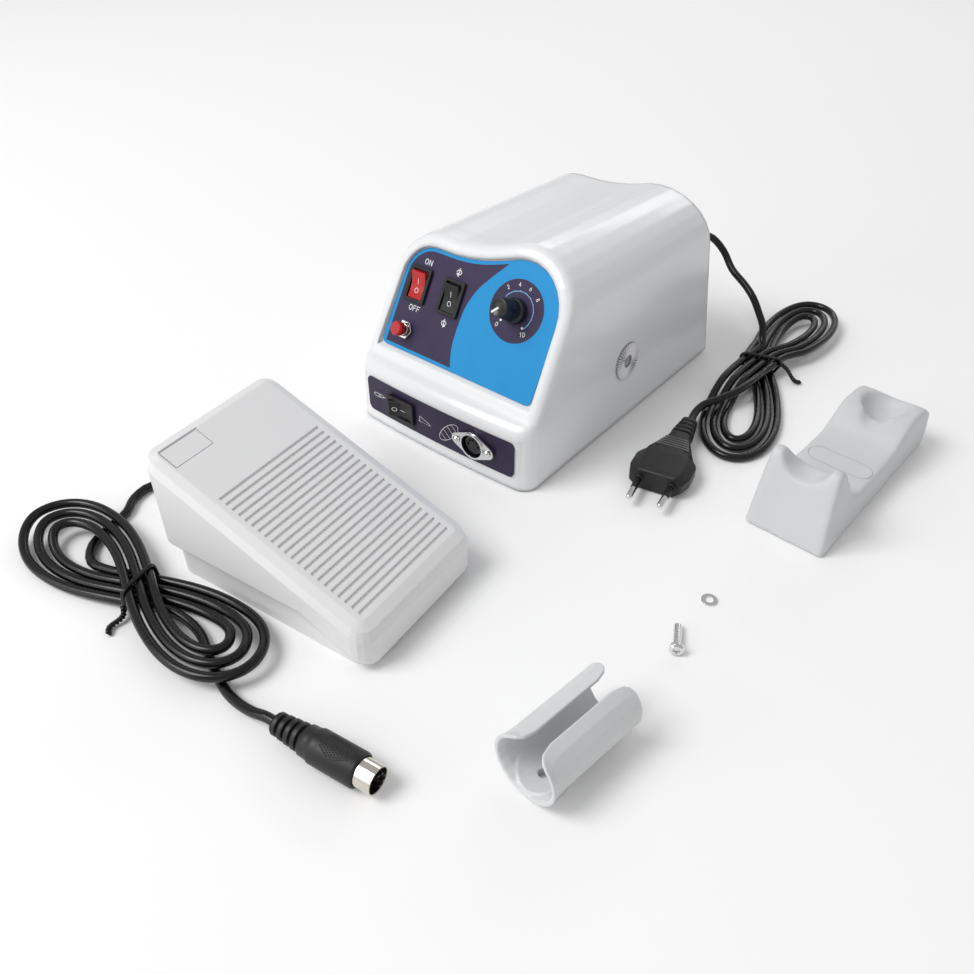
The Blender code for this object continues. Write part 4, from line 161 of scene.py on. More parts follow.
def surface(key, name, screen, rough, metal=0, spread=0.06, grain=0.0006, depth=1e-5,
            blotch=0.02, tint=0.05, coat=0, edge=0.0004, wear=0.12, brush=None,
            specular=0.5, relief=None):
    """A material with fine grain, uneven gloss and colour, and slightly worn soft edges."""
    made = Nodes(name)
    colour = paint(*screen)
    shader = made.shader
    fill(shader, {"Metallic": metal, "Coat Weight": coat, "Coat Roughness": COAT_ROUGH,
                  "Specular IOR Level": specular})
    height = made.noise(grain, 4, made.mapped(brush) if brush else made.place)
    if relief:
        height = made.reckoned("ADD", height, relief(made))
    broad = made.noise(blotch, 5)
    soft = made.node("ShaderNodeBevel", {"Radius": edge}, samples=6)
    bump = made.node("ShaderNodeBump", {"Strength": 1, "Distance": depth})
    made.link(height, bump.inputs["Height"])
    made.link(soft.outputs["Normal"], bump.inputs["Normal"])
    made.link(bump.outputs["Normal"], shader.inputs["Normal"])
    smear = made.reckoned("MULTIPLY", made.noise(blotch / 6, 6), broad)
    made.link(made.ranged(smear, *SMEARS, rough - spread, rough + spread),
              shader.inputs["Roughness"])
    dark = tuple(c * (1 - tint) for c in colour[:3]) + (1,)
    tone = made.mixed(made.ranged(broad, *PATCHES), colour, dark)
    facing = made.node("ShaderNodeVectorMath", operation="DOT_PRODUCT")
    geometry = made.node("ShaderNodeNewGeometry")
    made.link(soft.outputs["Normal"], facing.inputs[0])
    made.link(geometry.outputs["Normal"], facing.inputs[1])
    rubbed = made.reckoned("MULTIPLY", made.ranged(facing.outputs["Value"], *EDGE_TURN),
                           made.ranged(made.noise(RUB_SIZE), *RUBS))
    rubbed = made.reckoned("MULTIPLY", rubbed, float(wear))
    pale = tuple(min(1, c * 1.6 + 0.05) for c in colour[:3]) + (1,)
    made.link(made.mixed(rubbed, tone, pale), shader.inputs["Base Color"])
    LOOKS[key] = made.material


def texture(kind, scale, out, **values):
    """A relief drawn by one texture node."""
    def relief(made):
        drawn = made.node(kind, {"Scale": scale}, **values)
        made.link(made.place, drawn.inputs["Vector"])
        return drawn.outputs[out]

    return relief


def bands(direction, scale):
    return texture("ShaderNodeTexWave", scale, "Fac", wave_type="BANDS",
                   bands_direction=direction)


surface("shell", "shell_gloss", (230, 231, 233), 0.24, grain=0.003, depth=4e-6, spread=0.03,
        blotch=0.12, tint=0.02, coat=0.3, edge=0.0045, wear=0)
# Rosette ridges: lighter than the shell, a painted highlight on the ridge tops
surface("ridge", "shell_ridges_painted_highlight", (248, 248, 249), 0.3, depth=4e-6, tint=0.02, edge=5e-5, wear=0)
# Dark ring under the rosette ridges: painted shade between the ridges
surface("rosette_painted_shade", "rosette_painted_shade", (132, 133, 136), 0.4, depth=6e-6, tint=0.02, edge=5e-5,
        wear=0)
surface("pedal", "pedal_satin", (229, 229, 230), 0.36, grain=0.0005, depth=8e-6, blotch=0.08,
        tint=0.02, coat=0.1, edge=0.0009, wear=0, spread=0.04)
surface("blue", "panel_blue_film", (29, 143, 206), 0.45, grain=0.0004, depth=6e-6, tint=0.04,
        edge=0.0001, specular=0.25)
surface("dark", "panel_dark_film", (57, 48, 78), 0.5, grain=0.0003, depth=8e-6, tint=0.08,
        edge=0.0001, specular=0.25)
surface("strip", "chin_dark_film", (44, 35, 62), 0.45, grain=0.0003, depth=8e-6, tint=0.1,
        edge=0.0001, specular=0.3)
surface("white_ink", "white_ink", (238, 240, 243), 0.45, grain=0.0002, depth=4e-6, tint=0.03,
        edge=2e-5, wear=0)
surface("blue_ink", "blue_ink", (128, 186, 238), 0.45, grain=0.0002, depth=4e-6, tint=0.04,
        edge=2e-5, wear=0)
surface("black", "black_plastic", (30, 30, 31), 0.42, grain=0.00025, depth=3e-5, blotch=0.006,
        tint=0.25, edge=0.0003, wear=0.15, specular=0.35)
surface("socket_black", "socket_black", (20, 20, 21), 0.36, grain=0.0003, depth=8e-6,
        blotch=0.004, tint=0.2, edge=0.0002, wear=0.05)
surface("knob", "knob_black", (19, 19, 20), 0.34, grain=0.0003, blotch=0.005, tint=0.2, coat=0.1)
surface("cable", "cable_black", (12, 12, 13), 0.26, grain=0.0007, depth=15e-6, blotch=0.012,
        tint=0.3, edge=0.0001, wear=0, spread=0.08, specular=0.4)
surface("mould", "plug_black", (17, 17, 18), 0.46, grain=0.00035, depth=6e-5, blotch=0.006,
        tint=0.2)
surface("rough_mould", "flat_plug_black", (17, 17, 18), 0.42, grain=0.0008, depth=0.0002,
        blotch=0.006, tint=0.2, edge=0.0003, wear=0.15)
# Neck bars of the flat plug: light grey on black, a painted highlight
surface("neck_line_highlight", "neck_lines_painted_highlight", (120, 120, 122), 0.25, grain=0.0004, blotch=0.004,
        edge=5e-5, wear=0)
surface("nickel", "nickel_shell", (222, 216, 207), 0.2, metal=1, grain=0.0008, depth=8e-6,
        blotch=0.006, tint=0.08, edge=0.0003, spread=0.07)
surface("red", "red_plastic", (186, 28, 30), 0.26, depth=8e-6, blotch=0.008, tint=0.15,
        edge=0.0003, coat=0.1, wear=0.1, specular=0.35)
surface("rubber", "rubber", (30, 30, 31), 0.75, grain=0.0005, depth=5e-5, blotch=0.006, tint=0.2,
        edge=0.0003)
surface("steel", "plated_steel", (205, 205, 206), 0.2, metal=1, grain=0.0004, depth=8e-6,
        blotch=0.006, tint=0.1, edge=0.0002, spread=0.08)
surface("chrome", "bright_chrome", (225, 225, 226), 0.1, metal=1, grain=0.0012, depth=6e-6,
        blotch=0.008, tint=0.06, edge=0.0002, spread=0.05)
surface("grey", "stand_grey", (205, 206, 208), 0.5, grain=0.0003, depth=22e-6, blotch=0.03,
        tint=0.03, edge=0.0011, wear=0.04)
# Stand groove: a dark grey line on the grey, painted shade in the groove
surface("groove_shade", "groove_painted_shade", (128, 129, 132), 0.6, grain=0.0003, edge=2e-5, wear=0)
surface("clip", "clip_grey", (211, 212, 213), 0.36, tint=0.03, wear=0.06, coat=0.1)
surface("plate", "zinc_plate", (150, 152, 150), 0.38, metal=1, grain=0.003, depth=6e-6,
        blotch=0.012, tint=0.2, edge=0.0002, spread=0.12)
surface("iron", "core_iron", (92, 92, 95), 0.5, metal=0.8, grain=0.0008, depth=6e-5, blotch=0.01,
        tint=0.25, edge=0.0003, relief=bands("Y", 300))
surface("copper", "copper_winding", (168, 92, 50), 0.32, metal=0.7, grain=0.001, depth=0.00012,
        blotch=0.01, tint=0.25, relief=bands("Z", 320))
surface("board", "board_green", (28, 94, 56), 0.4, grain=0.0008, depth=4e-5, blotch=0.01,
        tint=0.25, edge=0.0002,
        relief=texture("ShaderNodeTexVoronoi", 260, "Distance", distance="MANHATTAN"))
surface("aluminium", "aluminium", (190, 191, 193), 0.32, metal=1, blotch=0.01, tint=0.12,
        edge=0.0002, brush=(1, 0.06, 1))
surface("sleeve", "capacitor_sleeve", (38, 46, 74), 0.32, grain=0.001, depth=12e-6, blotch=0.01,
        tint=0.2, edge=0.0003, coat=0.2)

NODES_OF_LOOK = {
    "shell": "housing_shell rear_panel", "blue": "panel_overlay", "strip": "chin_overlay",
    "red": "power_rocker reset_button", "knob": "speed_knob", "plate": "base_plate",
    "steel": "reset_nut speed_potentiometer potentiometer_nut hinge_pin return_spring"
             " pedal_potentiometer base_screw",
    "chrome": "din_socket din_screw_left din_screw_right euro_pin_left euro_pin_right"
              " clip_screw clip_washer",
    "mould": "cord_gland pedal_gland", "iron": "transformer_core",
    "copper": "transformer_coil", "board": "circuit_board", "aluminium": "heat_sink",
    "sleeve": "filter_capacitor", "pedal": "pedal_cover pedal_base", "rubber": "pedal_roller foot",
    "nickel": "din_plug_shell", "socket_black": "din_plug_insert",
    "grey": "handpiece_stand", "clip": "side_clip",
}
LOOK_OF = {name: look for look, names in NODES_OF_LOOK.items() for name in names.split()}

for name, node in nodes.items():
    # Feet and base screws go by their stems, and what isn't listed is black plastic
    stem = name.split("_front")[0].split("_rear")[0]
    node.data.materials.clear()
    node.data.materials.append(LOOKS[LOOK_OF.get(stem, "black")])


# Cords
def bezier(a, b, c, d, t):
    s = 1 - t
    return a * (s * s * s) + b * (3 * s * s * t) + c * (3 * s * t * t) + d * (t * t * t)


def smooth_line(points, start_way, end_way, gap, straight):
    """A smooth line through the points, straight at both ends."""
    start_way = Vector(start_way).normalized()
    end_way = Vector(end_way).normalized()
    points = [Vector(p) for p in points]
    start = points[0]
    end = points[-1]
    points[0] = start + start_way * straight
    points[-1] = end - end_way * straight
    ways = [start_way]
    for before, after in zip(points, points[2:]):
        ways.append((after - before).normalized())
    ways.append(end_way)
    line = [start, points[0]]
    for a, b, first, second in zip(points, points[1:], ways, ways[1:]):
        reach = (b - a).length
        count = max(2, round(reach / gap))
        for k in range(1, count + 1):
            line.append(bezier(a, a + first * reach / 3, b - second * reach / 3, b, k / count))
    return line + [end]


def eased(t):
    return t * t * (3 - 2 * t)


def levels(table, share):
    for (a, low), (b, high) in zip(table, table[1:]):
        if share <= b:
            return low + (high - low) * eased((share - a) / (b - a))
    return table[-1][1]


TURNS = 3
HOLD = 0.01
SPREAD = 0.0115
WAIST_LIFT = 0.0015
STRAND_GAP = 0.0008
LOBE_STEPS = 48


def hank_line(radius, angle, ahead, behind, step, flip, bend, top_first):
    """Centre line of a cord laid in figures of eight that cross at the tie."""
    along = cos(angle)
    aside = sin(angle)
    floor = radius + GAP
    waist = floor + WAIST_LIFT
    upper = floor + 2 * radius + STRAND_GAP
    upper_waist = waist + 2 * radius + STRAND_GAP
    rise = ((0, waist), (0.12, waist), (0.42, upper), (0.8, upper), (1, upper_waist))
    fall = ((0, upper_waist), (0.2, upper), (0.5, upper), (0.8, floor), (0.9, floor), (1, waist))
    drop = ((0, upper_waist), (0.05, upper_waist), (0.16, floor), (0.9, floor), (1, waist))
    first_way = Vector((along, aside))
    second_way = Vector((along, -aside))
    first_z, second_z = (upper_waist, waist) if top_first else (waist, upper_waist)
    ahead_table, behind_table = (drop, rise) if top_first else (rise, fall)

    def first_spot(k, side):
        return Vector((aside, -along)) * step * (k - TURNS / 2) + first_way * HOLD * side

    def second_spot(k, side):
        return Vector((aside, along)) * step * (k - (TURNS - 1) / 2) + second_way * HOLD * side

    def lobe(a, b, way_a, way_b, reach, table):
        pull = reach / (0.75 * along)
        made = []
        for i in range(1, LOBE_STEPS + 1):
            t = i / LOBE_STEPS
            flat_spot = bezier(a, a + way_a * pull, b + way_b * pull, b, t)
            made.append(Vector((*flat_spot, levels(table, t))))
        return made

    line = [Vector((*first_spot(0, -1), first_z)), Vector((*first_spot(0, 1), first_z))]
    for k in range(TURNS):
        line += lobe(first_spot(k, 1), second_spot(k, 1), first_way, second_way,
                     ahead - SPREAD * k, ahead_table)
        back = second_spot(k, -1)
        line.append(Vector((*back, second_z)))
        line += lobe(back, first_spot(k + 1, -1), -second_way, -first_way,
                     behind - SPREAD * (TURNS - 1 - k), behind_table)
        line.append(Vector((*first_spot(k + 1, 1), first_z)))
    for point in line:
        point.y *= -1 if flip else 1
        share = min(1, max(0, -point.x / (3 * HOLD)))
        point.xy = Matrix.Rotation(bend * eased(share), 2) @ point.xy
    return line


def cable_piece(name, line, radius, replaced, rings=6):
    """A round tube along a line, as a curve with one spline, in the place of CAD nodes."""
    data = bpy.data.curves.new(name, "CURVE")
    data.dimensions = "3D"
    data.bevel_depth = radius
    data.bevel_resolution = rings
    data.use_fill_caps = True
    spline = data.splines.new("POLY")
    spline.points.add(len(line) - 1)
    for point, spot in zip(spline.points, line):
        point.co = (*spot, 1)
    spline.use_smooth = True
    data.materials.append(LOOKS["cable"])
    made = bpy.data.objects.new(name, data)
    scene.collection.objects.link(made)
    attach(made, "set_base")
    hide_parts(*replaced)
    return made


def cord_line(radius, hank, place, turn, start, start_way, before, after, end, end_way):
    """Centre line of a cord through its hank, from spots in the row frame."""
    spot = Matrix.Translation((*place, 0)) @ Matrix.Rotation(turn, 4, "Z")
    middle = [spot @ v for v in hank_line(radius, **hank)]
    into = (middle[1] - middle[0]).normalized()
    away = (middle[-1] - middle[-2]).normalized()
    fineness = (radius * 1.6, radius * 2)
    first = smooth_line([start, *before, middle[0] - into * GAP], start_way, into, *fineness)
    last = smooth_line([middle[-1] + away * GAP, *after, end], away, end_way, *fineness)
    return [v - SHIFT for v in first[:-1] + middle + last[1:]]


def standing(x, y, turn):
    """Frame of a piece that stands on the floor at a spot of the row, turned about Z."""
    return Matrix.Translation(Vector((x, y, 0)) - SHIFT) @ Matrix.Rotation(turn, 4, "Z")


PEDAL = standing(0.09966, -0.10811, 0.1029)
STAND = standing(0.2365, 0.0635, -0.049)
PEDAL_BEFORE = [
    (-0.006, -0.1116, 0.007), (-0.025, -0.116, 0.0034), (-0.0375, -0.127, 0.0028),
    (-0.036, -0.14, 0.0028), (-0.029, -0.15, 0.0028), (-0.025, -0.164, 0.0028),
    (-0.02, -0.177, 0.0028), (-0.009, -0.1845, 0.0028), (0.0038, -0.1821, 0.0034)]
PEDAL_AFTER = [
    (0.059, -0.1785, 0.0032), (0.0735, -0.1795, 0.0028), (0.087, -0.185, 0.0028),
    (0.1005, -0.1905, 0.0028), (0.1125, -0.194, 0.0029), (0.123, -0.195, 0.004),
    (0.133, -0.1948, 0.0066)]
MAINS_BEFORE = [
    (0.102, 0.2335, 0.0672), (0.108, 0.24, 0.064), (0.117, 0.242, 0.0562),
    (0.1272, 0.2378, 0.0475), (0.1411, 0.2315, 0.0427), (0.1503, 0.2275, 0.0376),
    (0.1569, 0.226, 0.0292), (0.1614, 0.226, 0.0209), (0.163, 0.2245, 0.0145)]
MAINS_AFTER = [
    (0.182, 0.185, 0.0106), (0.1818, 0.17, 0.0119), (0.18, 0.157, 0.0116),
    (0.1745, 0.144, 0.0102), (0.1692, 0.134, 0.0088), (0.1688, 0.125, 0.0078)]


def crossings(line, place, turn, reach=0.03):
    """Where the strands of a cord pass the plane of its tie: side, height and stretch."""
    ahead = Vector((cos(turn), sin(turn)))
    aside = Vector((-ahead.y, ahead.x))
    middle = Vector(place) - SHIFT.xy
    found = []
    for a, b in zip(line, line[1:]):
        low = (a.xy - middle).dot(ahead)
        high = (b.xy - middle).dot(ahead)
        if (low < 0) == (high < 0):
            continue
        spot = a.lerp(b, low / (low - high))
        side = (spot.xy - middle).dot(aside)
        if abs(side) < reach:
            found.append((side, spot.z, abs((b - a).normalized().xy.dot(ahead))))
    return found


TIE_WIRE = 0.0008
TIE_GAP = 0.0002
TAIL = 0.015
TAIL_WAVE = 0.0018
TAIL_STEPS = 48


def tie_piece(kind, line, radius, place, turn, tail_way, tail_side):
    """A wire wound twice round the strands, its two ends twisted together beside them."""
    dots = []
    for side, high, lean in crossings(line, place, turn):
        for k in range(24):
            angle = 2 * pi * k / 24
            dots.append(Vector((side + (radius / lean + TIE_WIRE + TIE_GAP) * cos(angle),
                                max(TIE_WIRE + GAP,
                                    high + (radius + TIE_WIRE + TIE_GAP) * sin(angle)))))
    hull = [dots[i] for i in convex_hull_2d(dots)]
    foot = max(range(len(hull)), key=lambda i: hull[i].x * tail_side - hull[i].y * 0.5)
    hull = hull[foot:] + hull[:foot]
    ring = []
    total = len(hull) * 2
    for i in range(total + 1):
        spot = hull[i % len(hull)]
        ring.append(Vector((TIE_WIRE * (2 * i / total - 1) * 1.1, spot.x, spot.y)))
    way = Vector((cos(tail_way), sin(tail_way), 0))
    side = Vector((-way.y, way.x, 0))
    start = Vector((0, hull[0].x + TIE_WIRE * 1.5 * tail_side, hull[0].y))
    one = []
    two = []
    for k in range(TAIL_STEPS + 1):
        t = k / TAIL_STEPS
        middle = start + way * (TAIL * t) + side * (TAIL_WAVE * sin(t * 6))
        middle.z = start.z * (1 - t) ** 2 + 0.0018
        spin = t * pi * 9
        offset = (side * cos(spin) + Vector((0, 0, 1)) * sin(spin)) * TIE_WIRE * 0.95
        one.append(middle + offset)
        two.append(middle - offset)
    spot = standing(*place, turn)
    return cable_piece(kind + "_tie_wire", [spot @ v for v in two[::-1] + ring + one],
                       TIE_WIRE, [kind + "_tie"], rings=3)


PEDAL_RADIUS = 0.0025
PEDAL_TIE = (0.0291, -0.1808)
PEDAL_HANK = {"angle": radians(25), "ahead": 0.077, "behind": 0.082, "step": 0.0058,
              "flip": False, "bend": 0, "top_first": False}
PEDAL_GLAND = Vector((-0.078 - 0.0016 - 0.005 - 2 * GAP, 0.008, 0.0095))
ROUND_ROOT = Vector((0.145, -0.193, 0.0084))
round_way = Vector((cos(0.13), sin(0.13), 0))
pedal_line = cord_line(PEDAL_RADIUS, PEDAL_HANK, PEDAL_TIE, 0, PEDAL @ PEDAL_GLAND + SHIFT,
                       PEDAL.to_3x3() @ Vector((-1, 0, 0)), PEDAL_BEFORE, PEDAL_AFTER,
                       ROUND_ROOT - round_way * GAP, round_way)
pedal_cable = cable_piece("pedal_cable", pedal_line, PEDAL_RADIUS,
                          ["pedal_cord", "pedal_hank", "pedal_lead"])
pedal_tie = tie_piece("pedal", pedal_line, PEDAL_RADIUS, PEDAL_TIE, radians(14),
                      radians(-75), -1)

MAINS_RADIUS = 0.0024
MAINS_TIE = (0.1733, 0.2025)
MAINS_TURN = radians(-72)
MAINS_HANK = {"angle": radians(20), "ahead": 0.096, "behind": 0.09, "step": 0.006,
              "flip": True, "bend": radians(-17), "top_first": True}
REAR_LEAN = 0.1552
GLAND_HIGH = 0.062
FLAT_TURN = -1.3536
FLAT_ROOT = Vector((0.1715, 0.1132, 0.0074))
out = Vector((0, cos(REAR_LEAN), sin(REAR_LEAN)))
rear = Vector((0.1, 0.206 - GLAND_HIGH * tan(REAR_LEAN) - 0.0004 / cos(REAR_LEAN),
               GLAND_HIGH))
flat_way = Vector((cos(FLAT_TURN), sin(FLAT_TURN), 0))
mains_line = cord_line(MAINS_RADIUS, MAINS_HANK, MAINS_TIE, MAINS_TURN,
                       rear + out * (2 * GAP + 0.002 + 0.022), out, MAINS_BEFORE, MAINS_AFTER,
                       FLAT_ROOT - flat_way * GAP, flat_way)
mains_cable = cable_piece("mains_cable", mains_line, MAINS_RADIUS,
                          ["mains_cord", "mains_hank", "mains_lead"])
mains_tie = tie_piece("mains", mains_line, MAINS_RADIUS, MAINS_TIE, MAINS_TURN, radians(75), 1)


# Meshes
def mesh_piece(name, shape, look, at=None, smooth=False, body="set_base"):
    """A mesh of verts and faces; the verts are in the frame at, or else in the scene's."""
    verts, faces = shape
    mesh = bpy.data.meshes.new(name)
    mesh.from_pydata([tuple(at @ Vector(v)) if at else tuple(v) for v in verts], [], faces)
    mesh.validate()
    mesh.update()
    for face in mesh.polygons:
        face.use_smooth = smooth
    mesh.materials.append(LOOKS[look])
    made = bpy.data.objects.new(name, mesh)
    scene.collection.objects.link(made)
    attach(made, body)
    return made


def lathe(profile, steps, dent=None):
    """Verts and faces of a profile of radius and height turned about Z, dented inwards."""
    verts = []
    for i in range(steps):
        angle = 2 * pi * i / steps
        for k, (r, z) in enumerate(profile):
            radius = r - (dent(k, angle) if dent else 0)
            verts.append((radius * cos(angle), radius * sin(angle), z))
    count = len(profile)
    faces = []
    for i in range(steps):
        a = i * count
        b = (i + 1) % steps * count
        faces += [(a + k, b + k, b + k + 1, a + k + 1) for k in range(count - 1)]
    return verts, faces


def loft(rings):
    """Verts and faces of a skin over rings of the same count, closed at both ends."""
    verts = [v for ring in rings for v in ring]
    count = len(rings[0])
    faces = []
    for k in range(len(rings) - 1):
        for i in range(count):
            j = (i + 1) % count
            faces.append((k * count + i, k * count + j, (k + 1) * count + j,
                          (k + 1) * count + i))
    faces.append(tuple(reversed(range(count))))
    faces.append(tuple((len(rings) - 1) * count + i for i in range(count)))
    return verts, faces


# Printed marks
TREES = {}


def tree_of(node):
    if node not in TREES:
        mesh = nodes[node].data
        TREES[node] = BVHTree.FromPolygons([v.co for v in mesh.vertices],
                                           [tuple(p.vertices) for p in mesh.polygons])
    return TREES[node]


RIBBON_STEP = 0.0007


def ribbon(points, width, closed=False, grow=0.0):
    """Quads on both sides of a line of flat points."""
    points = [Vector(p) for p in points]
    if grow:
        first = (points[1] - points[0]).normalized()
        last = (points[-1] - points[-2]).normalized()
        points[0] = points[0] - first * grow
        points[-1] = points[-1] + last * grow
    fine = []
    for a, b in zip(points, points[1:] + points[:1] if closed else points[1:]):
        count = max(1, round((b - a).length / RIBBON_STEP))
        fine += [a.lerp(b, k / count) for k in range(count)]
    if not closed:
        fine.append(points[-1])
    verts = []
    faces = []
    total = len(fine)
    for i, spot in enumerate(fine):
        before = fine[i - 1] if closed or i else spot
        after = fine[(i + 1) % total] if closed or i < total - 1 else spot
        way = (after - before).normalized()
        side = Vector((-way.y, way.x)) * width / 2
        verts += [spot + side, spot - side]
    for i in range(total if closed else total - 1):
        j = (i + 1) % total
        faces.append((2 * i, 2 * i + 1, 2 * j + 1, 2 * j))
    return verts, faces


def joined(shapes):
    verts = []
    faces = []
    for more, quads in shapes:
        start = len(verts)
        verts += list(more)
        faces += [tuple(start + i for i in quad) for quad in quads]
    return verts, faces


DROP = 0.03


def draped(name, shapes, at, node, lift, look, body="set_base"):
    """Flat marks laid on the surface of a node, seen along the frame's Z."""
    verts, faces = joined(shapes)
    tree = tree_of(node)
    up = at.to_3x3() @ Vector((0, 0, 1))
    laid = []
    for v in verts:
        hit = tree.ray_cast(at @ Vector((v[0], v[1], DROP)), -up, 2 * DROP)[0]
        laid.append((hit if hit else at @ Vector((v[0], v[1], 0))) + up * lift)
    mesh_piece(name, (laid, faces), look, body=body)


def turned(x, y, turn, px, py):
    return (x + px * cos(turn) - py * sin(turn),
            y + px * sin(turn) + py * cos(turn))


def arc(x, y, rx, ry, steps, low, high, turn=0.0):
    """Points of an elliptical arc between two angles in degrees, with both its ends."""
    low = radians(low)
    high = radians(high)
    points = []
    for k in range(steps + 1):
        angle = low + (high - low) * k / steps
        points.append(turned(x, y, turn, rx * cos(angle), ry * sin(angle)))
    return points


def ellipse(x, y, rx, ry, steps=28, turn=0.0):
    return arc(x, y, rx, ry, steps, 0, 360, turn)[:-1]


GLYPHS = {
    "O": (0.78, [("oval", 0.39, 0.5, 0.36, 0.5)]),
    "0": (0.66, [("oval", 0.33, 0.5, 0.29, 0.5)]),
    "N": (0.72, [("line", (0, 0), (0, 1)), ("line", (0, 1), (0.66, 0)),
                 ("line", (0.66, 0), (0.66, 1))]),
    "F": (0.6, [("line", (0, 0), (0, 1)), ("line", (0, 1), (0.56, 1)),
                ("line", (0, 0.53), (0.48, 0.53))]),
    "I": (0.1, [("line", (0.05, 0), (0.05, 1))]),
    "1": (0.4, [("line", (0.26, 0), (0.26, 1)), ("line", (0.26, 1), (0.04, 0.76))]),
    "2": (0.62, [("arc", 0.3, 0.72, 0.26, 0.28, 170, -35), ("line", (0.51, 0.56), (0.04, 0)),
                 ("line", (0.04, 0), (0.58, 0))]),
    "4": (0.66, [("line", (0.46, 0), (0.46, 1)), ("line", (0.46, 1), (0.03, 0.3)),
                 ("line", (0.03, 0.3), (0.62, 0.3))]),
    "6": (0.62, [("oval", 0.3, 0.29, 0.27, 0.29), ("arc", 0.62, 0.36, 0.59, 0.62, 176, 118)]),
    "8": (0.62, [("oval", 0.3, 0.27, 0.27, 0.27), ("oval", 0.3, 0.77, 0.22, 0.23)]),
}


def writing(text, x, y, high, weight, turn=0.0, space=0.3):
    """Plain stroke lettering centred on a point."""
    wide = sum(GLYPHS[c][0] for c in text) + space * (len(text) - 1)
    pen = -wide / 2
    shapes = []

    def at(px, py):
        return turned(x, y, turn, (px + pen) * high, (py - 0.5) * high)

    for letter in text:
        width, strokes = GLYPHS[letter]
        for kind, *stroke in strokes:
            if kind == "line":
                shapes.append(ribbon([at(*p) for p in stroke], weight, grow=weight * 0.45))
            elif kind == "oval":
                shapes.append(ribbon([at(*p) for p in ellipse(*stroke)], weight, closed=True))
            else:
                cx, cy, rx, ry, low, high_angle = stroke
                loop = arc(cx, cy, rx, ry, 14, low, high_angle)
                shapes.append(ribbon([at(*p) for p in loop], weight))
        pen += width + space
    return shapes


def filled(points):
    return [tuple(p) for p in points], [tuple(range(len(points)))]


def flow(points, count=6):
    """A smooth open line through flat points."""
    points = [Vector(p) for p in points]
    line = []
    for i in range(len(points) - 1):
        a = points[i - 1] if i else points[i] * 2 - points[i + 1]
        b = points[i]
        c = points[i + 1]
        d = points[i + 2] if i + 2 < len(points) else points[i + 1] * 2 - points[i]
        for k in range(count):
            t = k / count
            line.append(0.5 * (2 * b + (c - a) * t + (2 * a - 5 * b + 4 * c - d) * t * t
                               + (3 * b - a - 3 * c + d) * t * t * t))
    line.append(points[-1])
    return line


def frame_at(x_way, y_way, z_way, spot):
    made = Matrix((x_way, y_way, z_way)).transposed().to_4x4()
    made.translation = Vector(spot)
    return made


PANEL = frame_at((1, 0, 0), (0, 0.498788, 0.866724), (0, -0.866724, 0.498788),
                 (-0.07733, -0.01545, 0.05005))
CHIN = frame_at((1, 0, 0), (0, 0, 1), (0, -1, 0), (-0.07733, -0.03059, 0))
SOCKET = frame_at((1, 0, 0), (0, 0, 1), (0, -1, 0), (-0.04803, -0.03159, 0.0212))
FILM_LIFT = 4e-5
INK_LIFT = 9e-5
DIAL_X = 28.3
DIAL_Y = 45.6


def placed(frame_matrix, x, y):
    return frame_matrix @ Matrix.Translation((x, y, 0))


def scaled(points):
    """Points given in millimetres."""
    return [(x * 0.001, y * 0.001) for x, y in points]


def drawn(points, width, closed=False):
    return ribbon(scaled(points), width, closed)


def dot(x, y, radius, steps):
    return filled(scaled(ellipse(x, y, radius, radius, steps)))


def dark_field():
    left = [(-52.4, 2.0)] + flow([(-52.5, 3.0), (-51.9, 22.0), (-51.3, 44.0)])
    hump = arc(-35, 44, 16.3, 16.3, 16, 177, 90)
    valley = [hump[-1], (-29.0, 60.4), (-21.0, 60.4), (-12.7, 61.0), (-3.6, 62.5), (4.8, 64.8),
              (14.8, 68.2)]
    sweep = [(14.8, 68.2), (10.1, 62.8), (5.3, 56.8), (0.6, 50.5), (-2.6, 44.0), (-4.8, 36.8),
             (-5.6, 29.5), (-5.8, 21.5), (-5.5, 14.6), (-3.9, 7.0), (-2.1, 2.0)]
    return filled(scaled(left + hump[1:-1] + flow(valley)[:-1] + flow(sweep)))


for name, field in (("panel_dark_field", dark_field()),
                    ("knob_disc", dot(DIAL_X, DIAL_Y, 17.6, 72))):
    draped(name, [field], PANEL, "panel_overlay", FILM_LIFT, "dark")


def turning_icon(x, y, flip):
    """A bar through a ring whose open end carries an arrow head."""
    m = -1 if flip else 1
    ring = [(x + px * m, y + py) for px, py in arc(0, 0, 1.6, 1.3, 22, 200, -110)]
    tip = Vector(ring[-1])
    head = [(tip.x - 1.2 * m, tip.y), (tip.x + 0.4 * m, tip.y + 1.0),
            (tip.x + 0.2 * m, tip.y - 1.0)]
    return [drawn(ring, 0.00046), drawn([(x, y - 2.5), (x, y + 2.5)], 0.00046),
            filled(scaled(head[::-1] if flip else head))]


def panel_marks():
    shapes = writing("ON", -0.0386, 0.0534, 0.003, 0.0004)
    shapes += writing("OFF", -0.0392, 0.0256, 0.003, 0.0004)
    shapes += turning_icon(-15.9, 54.2, False)
    shapes += turning_icon(-15.7, 24.2, True)
    shapes += writing("0", 0.0188, 0.0352, 0.0024, 0.00032, radians(-18))
    shapes += writing("10", 0.0368, 0.035, 0.0024, 0.00032, radians(14))
    for k, number in enumerate(("2", "4", "6", "8")):
        angle = radians(132 - k * 30)
        shapes += writing(number, DIAL_X / 1000 + 0.0146 * cos(angle),
                          DIAL_Y / 1000 + 0.0146 * sin(angle), 0.0021, 0.00028,
                          angle - pi / 2)
    return shapes + [dot(x, 38.2, 0.72, 12) for x in (20.5, 35.3)]


def speed_arc():
    shapes = [drawn(arc(DIAL_X, DIAL_Y, 10.9, 10.9, 48, 150, -47), 0.0004)]
    for k in range(9):
        angle = radians(138 - k * 20.5)
        shapes.append(dot(DIAL_X + 11.1 * cos(angle), DIAL_Y + 11.1 * sin(angle),
                          0.36, 8))
    return shapes


